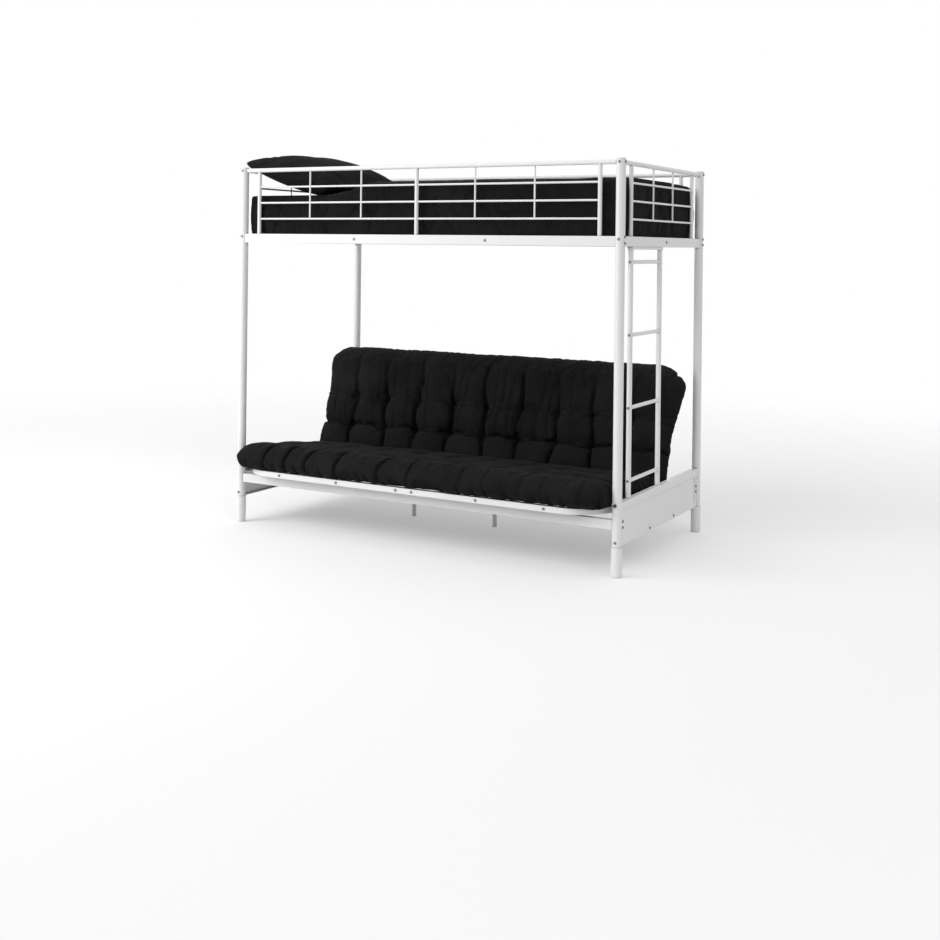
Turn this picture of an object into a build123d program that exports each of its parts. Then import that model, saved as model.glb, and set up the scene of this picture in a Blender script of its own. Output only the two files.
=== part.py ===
from build123d import *
from math import cos, radians, sin, sqrt, tan
import os

# A white steel loft bed: a sleeping deck on four posts with a fold-out futon below it.
# Lengths are in millimetres. X runs along the bed towards the ladder end, Y runs to the
# back and Z runs up. The origin is on the floor, under the middle of the whole bed.

os.makedirs("parts", exist_ok=True)

# General fits
slip_gap = 0.3            # between pieces that lie beside or slide past each other
pin_gap = 0.05            # between a hinge pin and the hole that turns on it
overrun = 1000.0          # how far a cut reaches past what it cuts

# Posts and legs
bed_length = 1960.0       # between the centres of the end posts
bed_depth = 960.0         # between the centres of the front and rear posts
post_diameter = 40.0
post_wall = 1.5
post_rise = 12.0          # of a post above the middle of the guards' top rail
leg_top = 123.0
leg_wall = 2.5
foot_thickness = 6.0
foot_spigot = 24.0
cap_thickness = 3.0
cap_spigot = 8.0

# Bolts
bolt_head = 11.0
bolt_head_height = 3.5
bolt_head_taper = 30.0
bolt_shank = 6.0
bolt_length = 12.0

# Places of the posts' bolts and of the knob
side_bolt_rise = 30.0     # above the deck rails' undersides
end_bolt_rises = (39.0, 13.0)
leg_bolt_rise = 20.0      # above the lower legs' tops
knob_drop = 8.0           # below the end panels' tops
knob_diameter = 13.0
knob_length = 9.0
knob_round = 3.0

# Folded end panels between the legs
panel_top = 302.0
lip_height = 34.0
lip_depth = 25.0
panel_sheet = 2.0
web_inset = 4.0           # of the panel's sheet behind the lip's outer face
flange_depth = 20.0
plate_width = 30.0
plate_rise = 27.0         # of an end plate's foot above the panel's flange
panel_bolt_drops = (46.0, 71.0)
flange_bolt_rise = 14.0
flange_bolt_places = (-137.0, 155.0)

# Lower stretchers between the legs
stretcher_height = 40.0
stretcher_depth = 20.0
stretcher_wall = 1.5
stretcher_gap = 15.0      # between a stretcher and the futon's frame above it

# Rails of the sleeping deck
rail_low = 1347.0
rail_height = 42.0
rail_depth = 25.0
rail_wall = 1.5
ledge_width = 30.0
ledge_thickness = 3.0
rail_bolt_places = (-328.0, 356.0)
end_rail_bolt_place = 16.0
slat_count = 13
slat_width = 25.0
slat_height = 25.0
slat_wall = 1.2
slat_end_margin = 70.0

# Guards
guard_height = 304.0      # of the top rail's middle above the deck's rails
guard_rail_diameter = 20.0
guard_rail_wall = 1.5
guard_upright_diameter = 18.0
guard_bar_diameter = 9.0   # of the level bars
thin_upright_diameter = 8.0
guard_bar_shares = (0.734, 0.487, 0.237)       # of the way from the deck rail to the top rail
side_upright_inset = 92.0                      # from the posts' centres
end_upright_inset = 109.0
side_bar_shares = (-0.6, -0.305, 0.305, 0.6)   # of the way from the middle to the posts
end_bar_shares = (-0.246, 0.246)

# Ladder
stile_diameter = 22.0
stile_wall = 1.5
stile_places = (-365.0, -32.0)
rung_diameter = 16.0
rung_wall = 2.0
rung_count = 4
first_rung_rise = 72.0    # above the end panel
last_rung_drop = 52.0     # below the ladder's head bar
head_bar_thickness = 12.0
head_bar_margin = 11.0

# Futon frame
futon_tube = 25.0
futon_tube_wall = 1.5
futon_drop = 20.0         # of its underside below the end panels' lips
futon_front = 563.0       # from the middle of the bed to the front rail's face
futon_side_gap = 5.5      # between its side rails and the slide tracks
futon_corner_radius = 180.0
hinge_set_back = 130.0    # from the middle of the bed to the hinge line
rear_bar_set_back = 64.0
hinge_reach = 15.0        # of a side rail past its hinge pin
hinge_pin_diameter = 10.0
hinge_space = 5.0         # between the seat's and the back's side rails
seat_bolt_shares = (-0.915, -0.484, -0.055, 0.055, 0.484, 0.915)
futon_slat_width = 25.0
futon_slat_height = 12.0
seat_slat_count = 9
seat_slat_margin = 50.0   # from the front rail's ends to the end slats' middles
back_slat_count = 9
back_slat_margin = 87.5
back_angle = 60.0         # of the raised back above the floor
back_frame_length = 520.0
back_bar_place = 60.0
mid_leg_diameter = 20.0
mid_leg_wall = 1.5
mid_leg_places = (-333.0, 121.0)
mid_cap_diameter = 24.0
mid_cap_thickness = 5.0
mid_cap_spigot = 15.0

# Slide tracks and glides
track_wall = 2.5
track_height = 28.0
track_depth = 38.5
track_end_gap = 3.2       # between a track's end and the legs
glide_length = 60.0
glide_clearance = 4.0     # between a glide's tip and the track's back
glide_places = (-120.0, 90.0)

# Futon cushions
seat_post_gap = 5.0       # between the seat cushion's ends and the posts
back_post_set_in = 15.0   # of the back cushion's ends from the posts' centres
cushion_columns = 10
column_rise = 12.0        # of each puff above its creases, along the cushion
row_rise = 15.0           # and across it
fold_height = 42.0        # of the fold's crease above the hinge line
seat_cushion_reach = 730.0
seat_face_end = 692.0
seat_free_height = 112.0
seat_end_foot = 708.0     # where the front edge meets the cushion's underside
seat_row_shares = (0.0, 0.34, 0.68, 1.0)
seat_corner_radius = 110.0
back_cushion_overhang = 55.0   # past the back frame's top rail
back_face_set_back = 108.0     # of the face's end from the cushion's own end
back_free_height = 158.0
back_end_bulge = 12.0
back_row_shares = (0.0, 0.20, 0.54, 1.0)
back_left_radius = 70.0
back_right_radius = 140.0
cushion_edge_drop = 24.0
cushion_side_draw = 10.0
first_crown_share = 0.4   # of a column's width to the crown of an end column

# Upper mattress
mattress_set_in = 15.0    # of its edges from the posts' centres
mattress_thickness = 250.0
mattress_low_thickness = 198.0
mattress_low_length = 415.0
mattress_ramp_length = 280.0
mattress_crown = 10.0
mattress_side_draw = 8.0
mattress_edge_inset = 18.0
mattress_corner_radius = 45.0

# Pillow
pillow_width = 500.0      # along the bed's length
pillow_depth = 710.0
pillow_edge = 16.0        # thickness along its sides
pillow_crown = 80.0       # by which each face swells above its long sides
pillow_end_crown = 102.0  # by which each face would swell above its short sides
pillow_tilt = 14.0
pillow_overhang = 6.7     # of its upper end past the left guard
pillow_middle_y = -118.0
pillow_gap = 0.5          # above the mattress, and between it and the guard's rail
pillow_side_draw = 22.0
pillow_corner_radius = 40.0

# Places worked out from the sizes above
half_length = bed_length / 2
post_radius = post_diameter / 2
bolt_seat = post_radius
front_reach = seat_cushion_reach - hinge_set_back
rear_reach = bed_depth / 2 + post_radius + bolt_head_height
middle_y = (front_reach - rear_reach) / 2
front_y = middle_y - bed_depth / 2
leg_inner_radius = post_radius + slip_gap
leg_outer_radius = leg_inner_radius + leg_wall
lip_underside = panel_top - lip_height
futon_underside = lip_underside - futon_drop
rail_top = rail_low + rail_height
top_rail_height = rail_top + guard_height
post_top = top_rail_height + post_rise
rail_middle = rail_low + rail_height / 2
x_axis = Vector(1, 0, 0)
y_axis = Vector(0, 1, 0)
z_axis = Vector(0, 0, 1)
corners = {
    "front_left": (-1, -1),
    "front_right": (1, -1),
    "rear_left": (-1, 1),
    "rear_right": (1, 1),
}
rows = {"front": -1, "rear": 1}
ends = {"left": -1, "right": 1}


def keep(piece, name):
    """Name a finished piece and write it to its own file."""
    piece.part.label = name
    export_step(piece.part, f"parts/{name}.step")


def round_tube(start, along, length, diameter, wall):
    """Add a round tube to the piece being made."""
    with BuildSketch(Plane(origin=start, z_dir=along)) as ring:
        Circle(diameter / 2)
        Circle(diameter / 2 - wall, mode=Mode.SUBTRACT)
    extrude(ring.sketch, amount=length)


def round_bar(start, along, length, diameter):
    """Add a solid round bar to the piece being made."""
    with BuildSketch(Plane(origin=start, z_dir=along)) as disc:
        Circle(diameter / 2)
    extrude(disc.sketch, amount=length)


def round_cut(start, along, length, diameter):
    """Cut a round hole out of the piece being made."""
    with BuildSketch(Plane(origin=start, z_dir=along)) as disc:
        Circle(diameter / 2)
    extrude(disc.sketch, amount=length, mode=Mode.SUBTRACT)


def box_tube(plane, length, width, height, wall):
    """Add a rectangular tube, run along a plane's normal, to the piece being made."""
    with BuildSketch(plane) as ring:
        Rectangle(width, height)
        Rectangle(width - 2 * wall, height - 2 * wall, mode=Mode.SUBTRACT)
    extrude(ring.sketch, amount=length)


def flat_bar(plane, length, width, height):
    """Add a solid flat bar, run along a plane's normal, to the piece being made."""
    with BuildSketch(plane) as face:
        Rectangle(width, height)
    extrude(face.sketch, amount=length)


def bolt(seat, outward):
    """Add a bolt whose head sits at a place and faces outward."""
    with BuildSketch(Plane(origin=seat, z_dir=outward)) as head:
        Circle(bolt_head / 2)
    extrude(head.sketch, amount=bolt_head_height, taper=bolt_head_taper)
    round_bar(seat, -outward, bolt_length, bolt_shank)


def bolt_hole(seat, outward):
    """Cut the hole that a bolt's shank passes through."""
    round_cut(seat + outward * bolt_length, -outward, 2 * bolt_length, bolt_shank + 2 * slip_gap)


def post_spots(side, row):
    """List the bolts of one post, as a seat on its surface and a direction."""
    middle = Vector(side * half_length, middle_y + row * bed_depth / 2, 0)
    across = y_axis * row
    along = x_axis * side
    spots = []
    for height in (top_rail_height, rail_low + side_bolt_rise, leg_top + leg_bolt_rise):
        spots.append((middle + across * bolt_seat + z_axis * height, across))
    for height in (top_rail_height, *[rail_low + rise for rise in end_bolt_rises]):
        spots.append((middle + along * bolt_seat + z_axis * height, along))
    return spots


def clear_posts(extra=slip_gap):
    """Cut the posts' outsides, with a gap, out of the piece being made."""
    for side, row in corners.values():
        foot = Vector(side * half_length, middle_y + row * bed_depth / 2, 0)
        round_cut(foot, z_axis, post_top + cap_thickness, post_diameter + 2 * extra)


# Posts, their lower legs, foot caps and top caps
post_foot = foot_thickness + foot_spigot
knob_seat = Vector(half_length, front_y - bolt_seat, panel_top - knob_drop)
for name, (side, row) in corners.items():
    middle = Vector(side * half_length, middle_y + row * bed_depth / 2, 0)
    with BuildPart() as post:
        round_tube(middle + z_axis * post_foot, z_axis, post_top - post_foot, post_diameter, post_wall)
        for seat, outward in post_spots(side, row):
            bolt_hole(seat, outward)
        if name == "front_right":
            bolt_hole(knob_seat, -y_axis)
    keep(post, f"post_{name}")

    with BuildPart() as leg:
        leg_length = leg_top - foot_thickness
        round_tube(middle + z_axis * foot_thickness, z_axis, leg_length, 2 * leg_outer_radius, leg_wall)
    keep(leg, f"leg_{name}")

with BuildPart() as foot_caps:
    for side, row in corners.values():
        middle = Vector(side * half_length, middle_y + row * bed_depth / 2, 0)
        round_bar(middle, z_axis, foot_thickness, 2 * leg_outer_radius)
        round_bar(middle, z_axis, post_foot, post_diameter)
keep(foot_caps, "foot_caps")

with BuildPart() as post_caps:
    for side, row in corners.values():
        middle = Vector(side * half_length, middle_y + row * bed_depth / 2, post_top)
        spigot_diameter = post_diameter - 2 * (post_wall + slip_gap)
        round_bar(middle, z_axis, cap_thickness, post_diameter)
        round_bar(middle, -z_axis, cap_spigot, spigot_diameter)
keep(post_caps, "post_caps")

# End panels: a folded sheet with a box lip above and a flange below
lip_outer = half_length + lip_depth / 2
web_outer = lip_outer - web_inset
web_inner = web_outer - panel_sheet
web_seat_y = bed_depth / 2 - post_radius - plate_width / 2


def panel_spots(side):
    """List the bolts of one end panel, as a seat on its surface and a direction."""
    outward = x_axis * side
    spots = []
    for row in rows.values():
        for drop in panel_bolt_drops:
            seat_x = side * (web_outer + panel_sheet)
            seat = Vector(seat_x, middle_y + row * web_seat_y, lip_underside - drop)
            spots.append((seat, outward))
    for place in flange_bolt_places:
        seat = Vector(side * web_outer, middle_y + place, leg_top + flange_bolt_rise)
        spots.append((seat, outward))
    return spots


for name, side in ends.items():
    with BuildPart() as panel:
        with BuildSketch(Plane.XZ.offset(-middle_y)):
            with Locations((side * half_length, panel_top - lip_height / 2)):
                Rectangle(lip_depth, lip_height)
                Rectangle(lip_depth - 2 * panel_sheet, lip_height - 2 * panel_sheet, mode=Mode.SUBTRACT)
            web_height = lip_underside - leg_top
            with Locations((side * (web_outer - panel_sheet / 2), leg_top + web_height / 2)):
                Rectangle(panel_sheet, web_height)
            with Locations((side * (web_outer - flange_depth / 2), leg_top + panel_sheet / 2)):
                Rectangle(flange_depth, panel_sheet)
        extrude(amount=bed_depth / 2, both=True)
        plate_height = lip_underside - leg_top - plate_rise
        for row in rows.values():
            plate_middle = (
                side * (web_outer + panel_sheet / 2),
                middle_y + row * web_seat_y,
                lip_underside - plate_height / 2,
            )
            with Locations(plate_middle):
                Box(panel_sheet, plate_width, plate_height)
        clear_posts()
        for seat, outward in panel_spots(side):
            bolt_hole(seat, outward)
    keep(panel, f"end_panel_{name}")

# Lower stretchers between the legs, under the futon
stretcher_middle = futon_underside - stretcher_gap - stretcher_height / 2
for name, row in rows.items():
    with BuildPart() as stretcher:
        start = Vector(-half_length, middle_y + row * bed_depth / 2, stretcher_middle)
        start_plane = Plane(origin=start, x_dir=y_axis, z_dir=x_axis)
        box_tube(start_plane, bed_length, stretcher_depth, stretcher_height, stretcher_wall)
        clear_posts()
    keep(stretcher, f"stretcher_{name}")


# Side rails of the deck, each with a ledge that carries the slats
def rail_spots(row):
    """List the bolts in one side rail's face."""
    face_y = middle_y + row * (bed_depth / 2 + rail_depth / 2)
    return [(Vector(place, face_y, rail_middle), y_axis * row) for place in rail_bolt_places]


def end_rail_spot(side):
    """Give the place and direction of the bolt in one end rail's face."""
    face_x = side * (half_length + rail_depth / 2)
    return Vector(face_x, middle_y + end_rail_bolt_place, rail_middle), x_axis * side


for name, row in rows.items():
    with BuildPart() as side_rail:
        start = Vector(-half_length, middle_y + row * bed_depth / 2, rail_middle)
        start_plane = Plane(origin=start, x_dir=y_axis, z_dir=x_axis)
        box_tube(start_plane, bed_length, rail_depth, rail_height, rail_wall)
        ledge_y = middle_y + row * (bed_depth / 2 - rail_depth / 2 - ledge_width / 2)
        ledge_start = Vector(-half_length, ledge_y, rail_low + ledge_thickness / 2)
        ledge_plane = Plane(origin=ledge_start, x_dir=y_axis, z_dir=x_axis)
        flat_bar(ledge_plane, bed_length, ledge_width, ledge_thickness)
        clear_posts()
        for x_side in ends.values():
            with Locations((x_side * half_length, middle_y, rail_middle)):
                Box(rail_depth + 2 * slip_gap, bed_depth - rail_depth, rail_height, mode=Mode.SUBTRACT)
        for seat, outward in rail_spots(row):
            bolt_hole(seat, outward)
    keep(side_rail, f"side_rail_{name}")

for name, side in ends.items():
    with BuildPart() as end_rail:
        start = Vector(side * half_length, front_y, rail_middle)
        start_plane = Plane(origin=start, x_dir=x_axis, z_dir=y_axis)
        box_tube(start_plane, bed_depth, rail_depth, rail_height, rail_wall)
        clear_posts()
        bolt_hole(*end_rail_spot(side))
    keep(end_rail, f"end_rail_{name}")

# Slats across the deck
slat_low = rail_low + ledge_thickness
slat_length = bed_depth - rail_depth - 2 * slip_gap
slat_span = bed_length - rail_depth - 2 * slat_end_margin
with BuildPart() as deck_slats:
    for index in range(slat_count):
        place = -slat_span / 2 + slat_span * index / (slat_count - 1)
        start = Vector(place, middle_y - slat_length / 2, slat_low + slat_height / 2)
        slat_plane = Plane(origin=start, x_dir=x_axis, z_dir=y_axis)
        box_tube(slat_plane, slat_length, slat_width, slat_height, slat_wall)
keep(deck_slats, "deck_slats")


# Guards: each one a welded grille
guard_bar_rises = [guard_height * share for share in guard_bar_shares]


def welded_guard(middle, along, half_span, upright_inset, bar_shares):
    """Add one grille: a top rail, thick uprights, thin uprights and level bars."""
    base = middle + z_axis * rail_top
    rail_start = base - along * half_span + z_axis * guard_height
    upright_reach = half_span - upright_inset
    for place in (-upright_reach, upright_reach):
        round_bar(base + along * place, z_axis, guard_height, guard_upright_diameter)
    for share in bar_shares:
        foot = base + along * half_span * share + z_axis * min(guard_bar_rises)
        round_bar(foot, z_axis, guard_height - min(guard_bar_rises), thin_upright_diameter)
    for rise in guard_bar_rises:
        bar_start = base - along * upright_reach + z_axis * rise
        round_bar(bar_start, along, 2 * upright_reach, guard_bar_diameter)
    round_bar(rail_start, along, 2 * half_span, guard_rail_diameter)
    round_cut(rail_start, along, 2 * half_span, guard_rail_diameter - 2 * guard_rail_wall)


for name, row in rows.items():
    with BuildPart() as guard:
        middle = Vector(0, middle_y + row * bed_depth / 2, 0)
        round_bar(middle + z_axis * rail_top, z_axis, guard_height, guard_upright_diameter)
        welded_guard(middle, x_axis, half_length, side_upright_inset, side_bar_shares)
        clear_posts()
    keep(guard, f"guard_{name}")

for name, side in ends.items():
    with BuildPart() as guard:
        middle = Vector(side * half_length, middle_y, 0)
        welded_guard(middle, y_axis, bed_depth / 2, end_upright_inset, end_bar_shares)
        clear_posts()
    keep(guard, f"guard_{name}")

# Ladder in the plane of the right end
ladder_top = rail_low - head_bar_thickness
first_rung = panel_top + first_rung_rise
rung_pitch = (ladder_top - last_rung_drop - first_rung) / (rung_count - 1)
rung_heights = [first_rung + rung_pitch * index for index in range(rung_count)]
for name, place in zip(("front", "rear"), stile_places):
    with BuildPart() as stile:
        foot = Vector(half_length, middle_y + place, panel_top)
        round_tube(foot, z_axis, ladder_top - panel_top, stile_diameter, stile_wall)
        for height in rung_heights:
            through = Vector(half_length, middle_y + place - stile_diameter, height)
            round_cut(through, y_axis, 2 * stile_diameter, bolt_shank + 2 * slip_gap)
    keep(stile, f"ladder_stile_{name}")

for number, height in enumerate(rung_heights, start=1):
    with BuildPart() as rung:
        start = Vector(half_length, middle_y + stile_places[0], height)
        round_tube(start, y_axis, stile_places[1] - stile_places[0], rung_diameter, rung_wall)
        for place in stile_places:
            foot = Vector(half_length, middle_y + place, panel_top)
            round_cut(foot, z_axis, ladder_top - panel_top, stile_diameter + 2 * slip_gap)
    keep(rung, f"ladder_rung_{number}")

with BuildPart() as ladder_head_bar:
    bar_middle = (stile_places[0] + stile_places[1]) / 2
    bar_length = stile_places[1] - stile_places[0] + 2 * head_bar_margin
    with Locations((half_length, middle_y + bar_middle, ladder_top + head_bar_thickness / 2)):
        Box(rail_depth, bar_length, head_bar_thickness)
keep(ladder_head_bar, "ladder_head_bar")

with BuildPart() as ladder_bolts:
    for height in rung_heights:
        for place, outward in zip(stile_places, (-y_axis, y_axis)):
            seat = Vector(half_length, middle_y + place, height) + outward * (stile_diameter / 2)
            with BuildSketch(Plane(origin=seat, z_dir=outward)):
                Circle(bolt_head / 2)
            extrude(amount=bolt_head_height, taper=bolt_head_taper)
            round_bar(seat, -outward, stile_diameter + bolt_length, bolt_shank)
keep(ladder_bolts, "ladder_bolts")

# Bolts of the steel frame
with BuildPart() as post_bolts:
    for side, row in corners.values():
        for seat, outward in post_spots(side, row):
            bolt(seat, outward)
keep(post_bolts, "post_bolts")

with BuildPart() as panel_bolts:
    for side in ends.values():
        for seat, outward in panel_spots(side):
            bolt(seat, outward)
keep(panel_bolts, "panel_bolts")

with BuildPart() as rail_bolts:
    for row in rows.values():
        for seat, outward in rail_spots(row):
            bolt(seat, outward)
    for side in ends.values():
        bolt(*end_rail_spot(side))
keep(rail_bolts, "rail_bolts")

with BuildPart() as lock_knob:
    round_bar(knob_seat, -y_axis, knob_length, knob_diameter)
    fillet(lock_knob.edges().sort_by(Axis.Y)[0], radius=knob_round)
    round_bar(knob_seat, y_axis, bolt_length, bolt_shank)
keep(lock_knob, "lock_knob")

# Slide tracks inside the end panels: a channel that opens towards the futon
track_middle = lip_underside - track_height / 2
track_inner_end = web_inner - track_depth
track_length = bed_depth - 2 * (leg_outer_radius + track_end_gap)
for name, side in ends.items():
    with BuildPart() as track:
        track_x = side * (track_inner_end + track_depth / 2)
        with Locations((track_x, middle_y, track_middle)):
            Box(track_depth, track_length, track_height)
        with Locations((track_x - side * track_wall, middle_y, track_middle)):
            Box(track_depth, track_length, track_height - 2 * track_wall, mode=Mode.SUBTRACT)
    keep(track, f"slide_track_{name}")

# Futon seat frame
futon_middle = futon_underside + futon_tube / 2
futon_top = futon_underside + futon_tube
front_rail_y = middle_y - futon_front + futon_tube / 2
hinge_y = middle_y + hinge_set_back
hinge = Vector(0, hinge_y, futon_middle)
futon_half_width = track_inner_end - futon_side_gap - futon_tube / 2
corner_x = futon_half_width - futon_corner_radius
corner_y = front_rail_y + futon_corner_radius
seat_bolt_spots = [
    (Vector(corner_x * share, front_rail_y - futon_tube / 2, futon_middle), -y_axis)
    for share in seat_bolt_shares
]

with BuildPart() as seat_front_rail:
    rail_start = Vector(-corner_x, front_rail_y, futon_middle)
    rail_plane = Plane(origin=rail_start, x_dir=y_axis, z_dir=x_axis)
    box_tube(rail_plane, 2 * corner_x, futon_tube, futon_tube, futon_tube_wall)
    for seat, outward in seat_bolt_spots:
        bolt_hole(seat, outward)
keep(seat_front_rail, "seat_front_rail")

with BuildPart() as seat_bolts:
    for seat, outward in seat_bolt_spots:
        bolt(seat, outward)
keep(seat_bolts, "seat_bolts")

for name, side in ends.items():
    with BuildPart() as corner:
        with BuildSketch(Plane.XY.offset(futon_underside)):
            with Locations((side * corner_x, corner_y)):
                Circle(futon_corner_radius + futon_tube / 2)
                Circle(futon_corner_radius - futon_tube / 2, mode=Mode.SUBTRACT)
            with Locations((side * (corner_x - overrun / 2), corner_y)):
                Rectangle(overrun, overrun, mode=Mode.SUBTRACT)
            with Locations((side * corner_x, corner_y + overrun / 2)):
                Rectangle(overrun, overrun, mode=Mode.SUBTRACT)
        extrude(amount=futon_tube)
        with BuildSketch(Plane.XY.offset(futon_underside + futon_tube_wall)):
            with Locations((side * corner_x, corner_y)):
                Circle(futon_corner_radius + futon_tube / 2 - futon_tube_wall)
                Circle(futon_corner_radius - futon_tube / 2 + futon_tube_wall, mode=Mode.SUBTRACT)
        extrude(amount=futon_tube - 2 * futon_tube_wall, mode=Mode.SUBTRACT)
    keep(corner, f"seat_corner_{name}")

    with BuildPart() as side_tube:
        rail_start = Vector(side * futon_half_width, corner_y, futon_middle)
        rail_length = hinge_y + hinge_reach - corner_y
        rail_plane = Plane(origin=rail_start, x_dir=x_axis, z_dir=y_axis)
        box_tube(rail_plane, rail_length, futon_tube, futon_tube, futon_tube_wall)
        hole_start = hinge + x_axis * side * (futon_half_width - futon_tube)
        round_cut(hole_start, x_axis * side, 2 * futon_tube, hinge_pin_diameter + 2 * pin_gap)
    keep(side_tube, f"seat_side_{name}")

rear_bar_y = middle_y + rear_bar_set_back
inner_half_width = futon_half_width - futon_tube / 2
with BuildPart() as seat_rear_bar:
    bar_start = Vector(-inner_half_width, rear_bar_y, futon_middle)
    bar_plane = Plane(origin=bar_start, x_dir=y_axis, z_dir=x_axis)
    box_tube(bar_plane, 2 * inner_half_width, futon_tube, futon_tube, futon_tube_wall)
keep(seat_rear_bar, "seat_rear_bar")

with BuildPart() as seat_slats:
    slat_start = front_rail_y + futon_tube / 2
    seat_slat_length = rear_bar_y - futon_tube / 2 - slat_start
    seat_slat_span = 2 * (corner_x - seat_slat_margin)
    for index in range(seat_slat_count):
        place = -seat_slat_span / 2 + seat_slat_span * index / (seat_slat_count - 1)
        start = Vector(place, slat_start, futon_top - futon_slat_height / 2)
        slat_plane = Plane(origin=start, x_dir=x_axis, z_dir=y_axis)
        flat_bar(slat_plane, seat_slat_length, futon_slat_width, futon_slat_height)
keep(seat_slats, "seat_slats")

for name, place in zip(("left", "right"), mid_leg_places):
    with BuildPart() as mid_leg:
        foot = Vector(place, rear_bar_y, mid_cap_thickness)
        round_tube(foot, z_axis, futon_underside - mid_cap_thickness, mid_leg_diameter, mid_leg_wall)
    keep(mid_leg, f"mid_leg_{name}")

with BuildPart() as mid_leg_caps:
    for place in mid_leg_places:
        foot = Vector(place, rear_bar_y, 0)
        spigot_diameter = mid_leg_diameter - 2 * (mid_leg_wall + slip_gap)
        round_bar(foot, z_axis, mid_cap_thickness, mid_cap_diameter)
        round_bar(foot, z_axis, mid_cap_thickness + mid_cap_spigot, spigot_diameter)
keep(mid_leg_caps, "mid_leg_caps")

glide_inner = futon_half_width + futon_tube / 2
glide_outer = web_inner - track_wall - glide_clearance
glide_height = track_height - 2 * track_wall - 2 * slip_gap
with BuildPart() as glides:
    for side in ends.values():
        for place in glide_places:
            glide_x = side * (glide_inner + glide_outer) / 2
            with Locations((glide_x, middle_y + place, track_middle)):
                Box(glide_outer - glide_inner, glide_length, glide_height)
keep(glides, "glides")

back_half_width = inner_half_width - hinge_space - futon_tube / 2
with BuildPart() as hinge_pins:
    for side in ends.values():
        pin_start = hinge + x_axis * side * (back_half_width - futon_tube / 2)
        pin_length = glide_inner - back_half_width + futon_tube / 2
        round_bar(pin_start, x_axis * side, pin_length, hinge_pin_diameter)
keep(hinge_pins, "hinge_pins")

# Futon back frame, built in the raised back's own plane
back_plane = Plane(hinge, x_dir=x_axis, z_dir=-y_axis.rotate(Axis.X, back_angle - 90))
up_back = back_plane.y_dir
for name, side in ends.items():
    with BuildPart() as back_side:
        rail_start = hinge + x_axis * side * back_half_width - up_back * hinge_reach
        rail_plane = Plane(origin=rail_start, x_dir=x_axis, z_dir=up_back)
        box_tube(rail_plane, back_frame_length + hinge_reach, futon_tube, futon_tube, futon_tube_wall)
        hole_start = hinge + x_axis * side * (back_half_width - futon_tube)
        round_cut(hole_start, x_axis * side, 2 * futon_tube, hinge_pin_diameter + 2 * pin_gap)
    keep(back_side, f"back_side_{name}")

back_outer = back_half_width + futon_tube / 2
back_inner = back_half_width - futon_tube / 2
with BuildPart() as back_top_rail:
    rail_start = hinge - x_axis * back_outer + up_back * (back_frame_length + futon_tube / 2)
    rail_plane = Plane(origin=rail_start, x_dir=up_back, z_dir=x_axis)
    box_tube(rail_plane, 2 * back_outer, futon_tube, futon_tube, futon_tube_wall)
keep(back_top_rail, "back_top_rail")

with BuildPart() as back_bottom_bar:
    bar_start = hinge - x_axis * back_inner + up_back * back_bar_place
    bar_plane = Plane(origin=bar_start, x_dir=up_back, z_dir=x_axis)
    box_tube(bar_plane, 2 * back_inner, futon_tube, futon_tube, futon_tube_wall)
keep(back_bottom_bar, "back_bottom_bar")

with BuildPart() as back_slats:
    slat_low_end = back_bar_place + futon_tube / 2
    slat_set = (futon_tube - futon_slat_height) / 2
    back_slat_span = 2 * (back_inner - back_slat_margin)
    for index in range(back_slat_count):
        place = -back_slat_span / 2 + back_slat_span * index / (back_slat_count - 1)
        start = hinge + x_axis * place + up_back * slat_low_end + back_plane.z_dir * slat_set
        slat_plane = Plane(origin=start, x_dir=x_axis, z_dir=up_back)
        flat_bar(slat_plane, back_frame_length - slat_low_end, futon_slat_width, futon_slat_height)
keep(back_slats, "back_slats")


# Futon cushions: two puffed pads that meet at the fold above the hinge
cushion_underside = futon_tube / 2 + slip_gap


def bulge(start, end, rise):
    """Draw an arc between two points that rises to the left of the way from start to end."""
    run = end - start
    left = Vector(-run.Y, run.X).normalized()
    ThreePointArc(start, (start + end) / 2 + left * rise, end)


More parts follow.
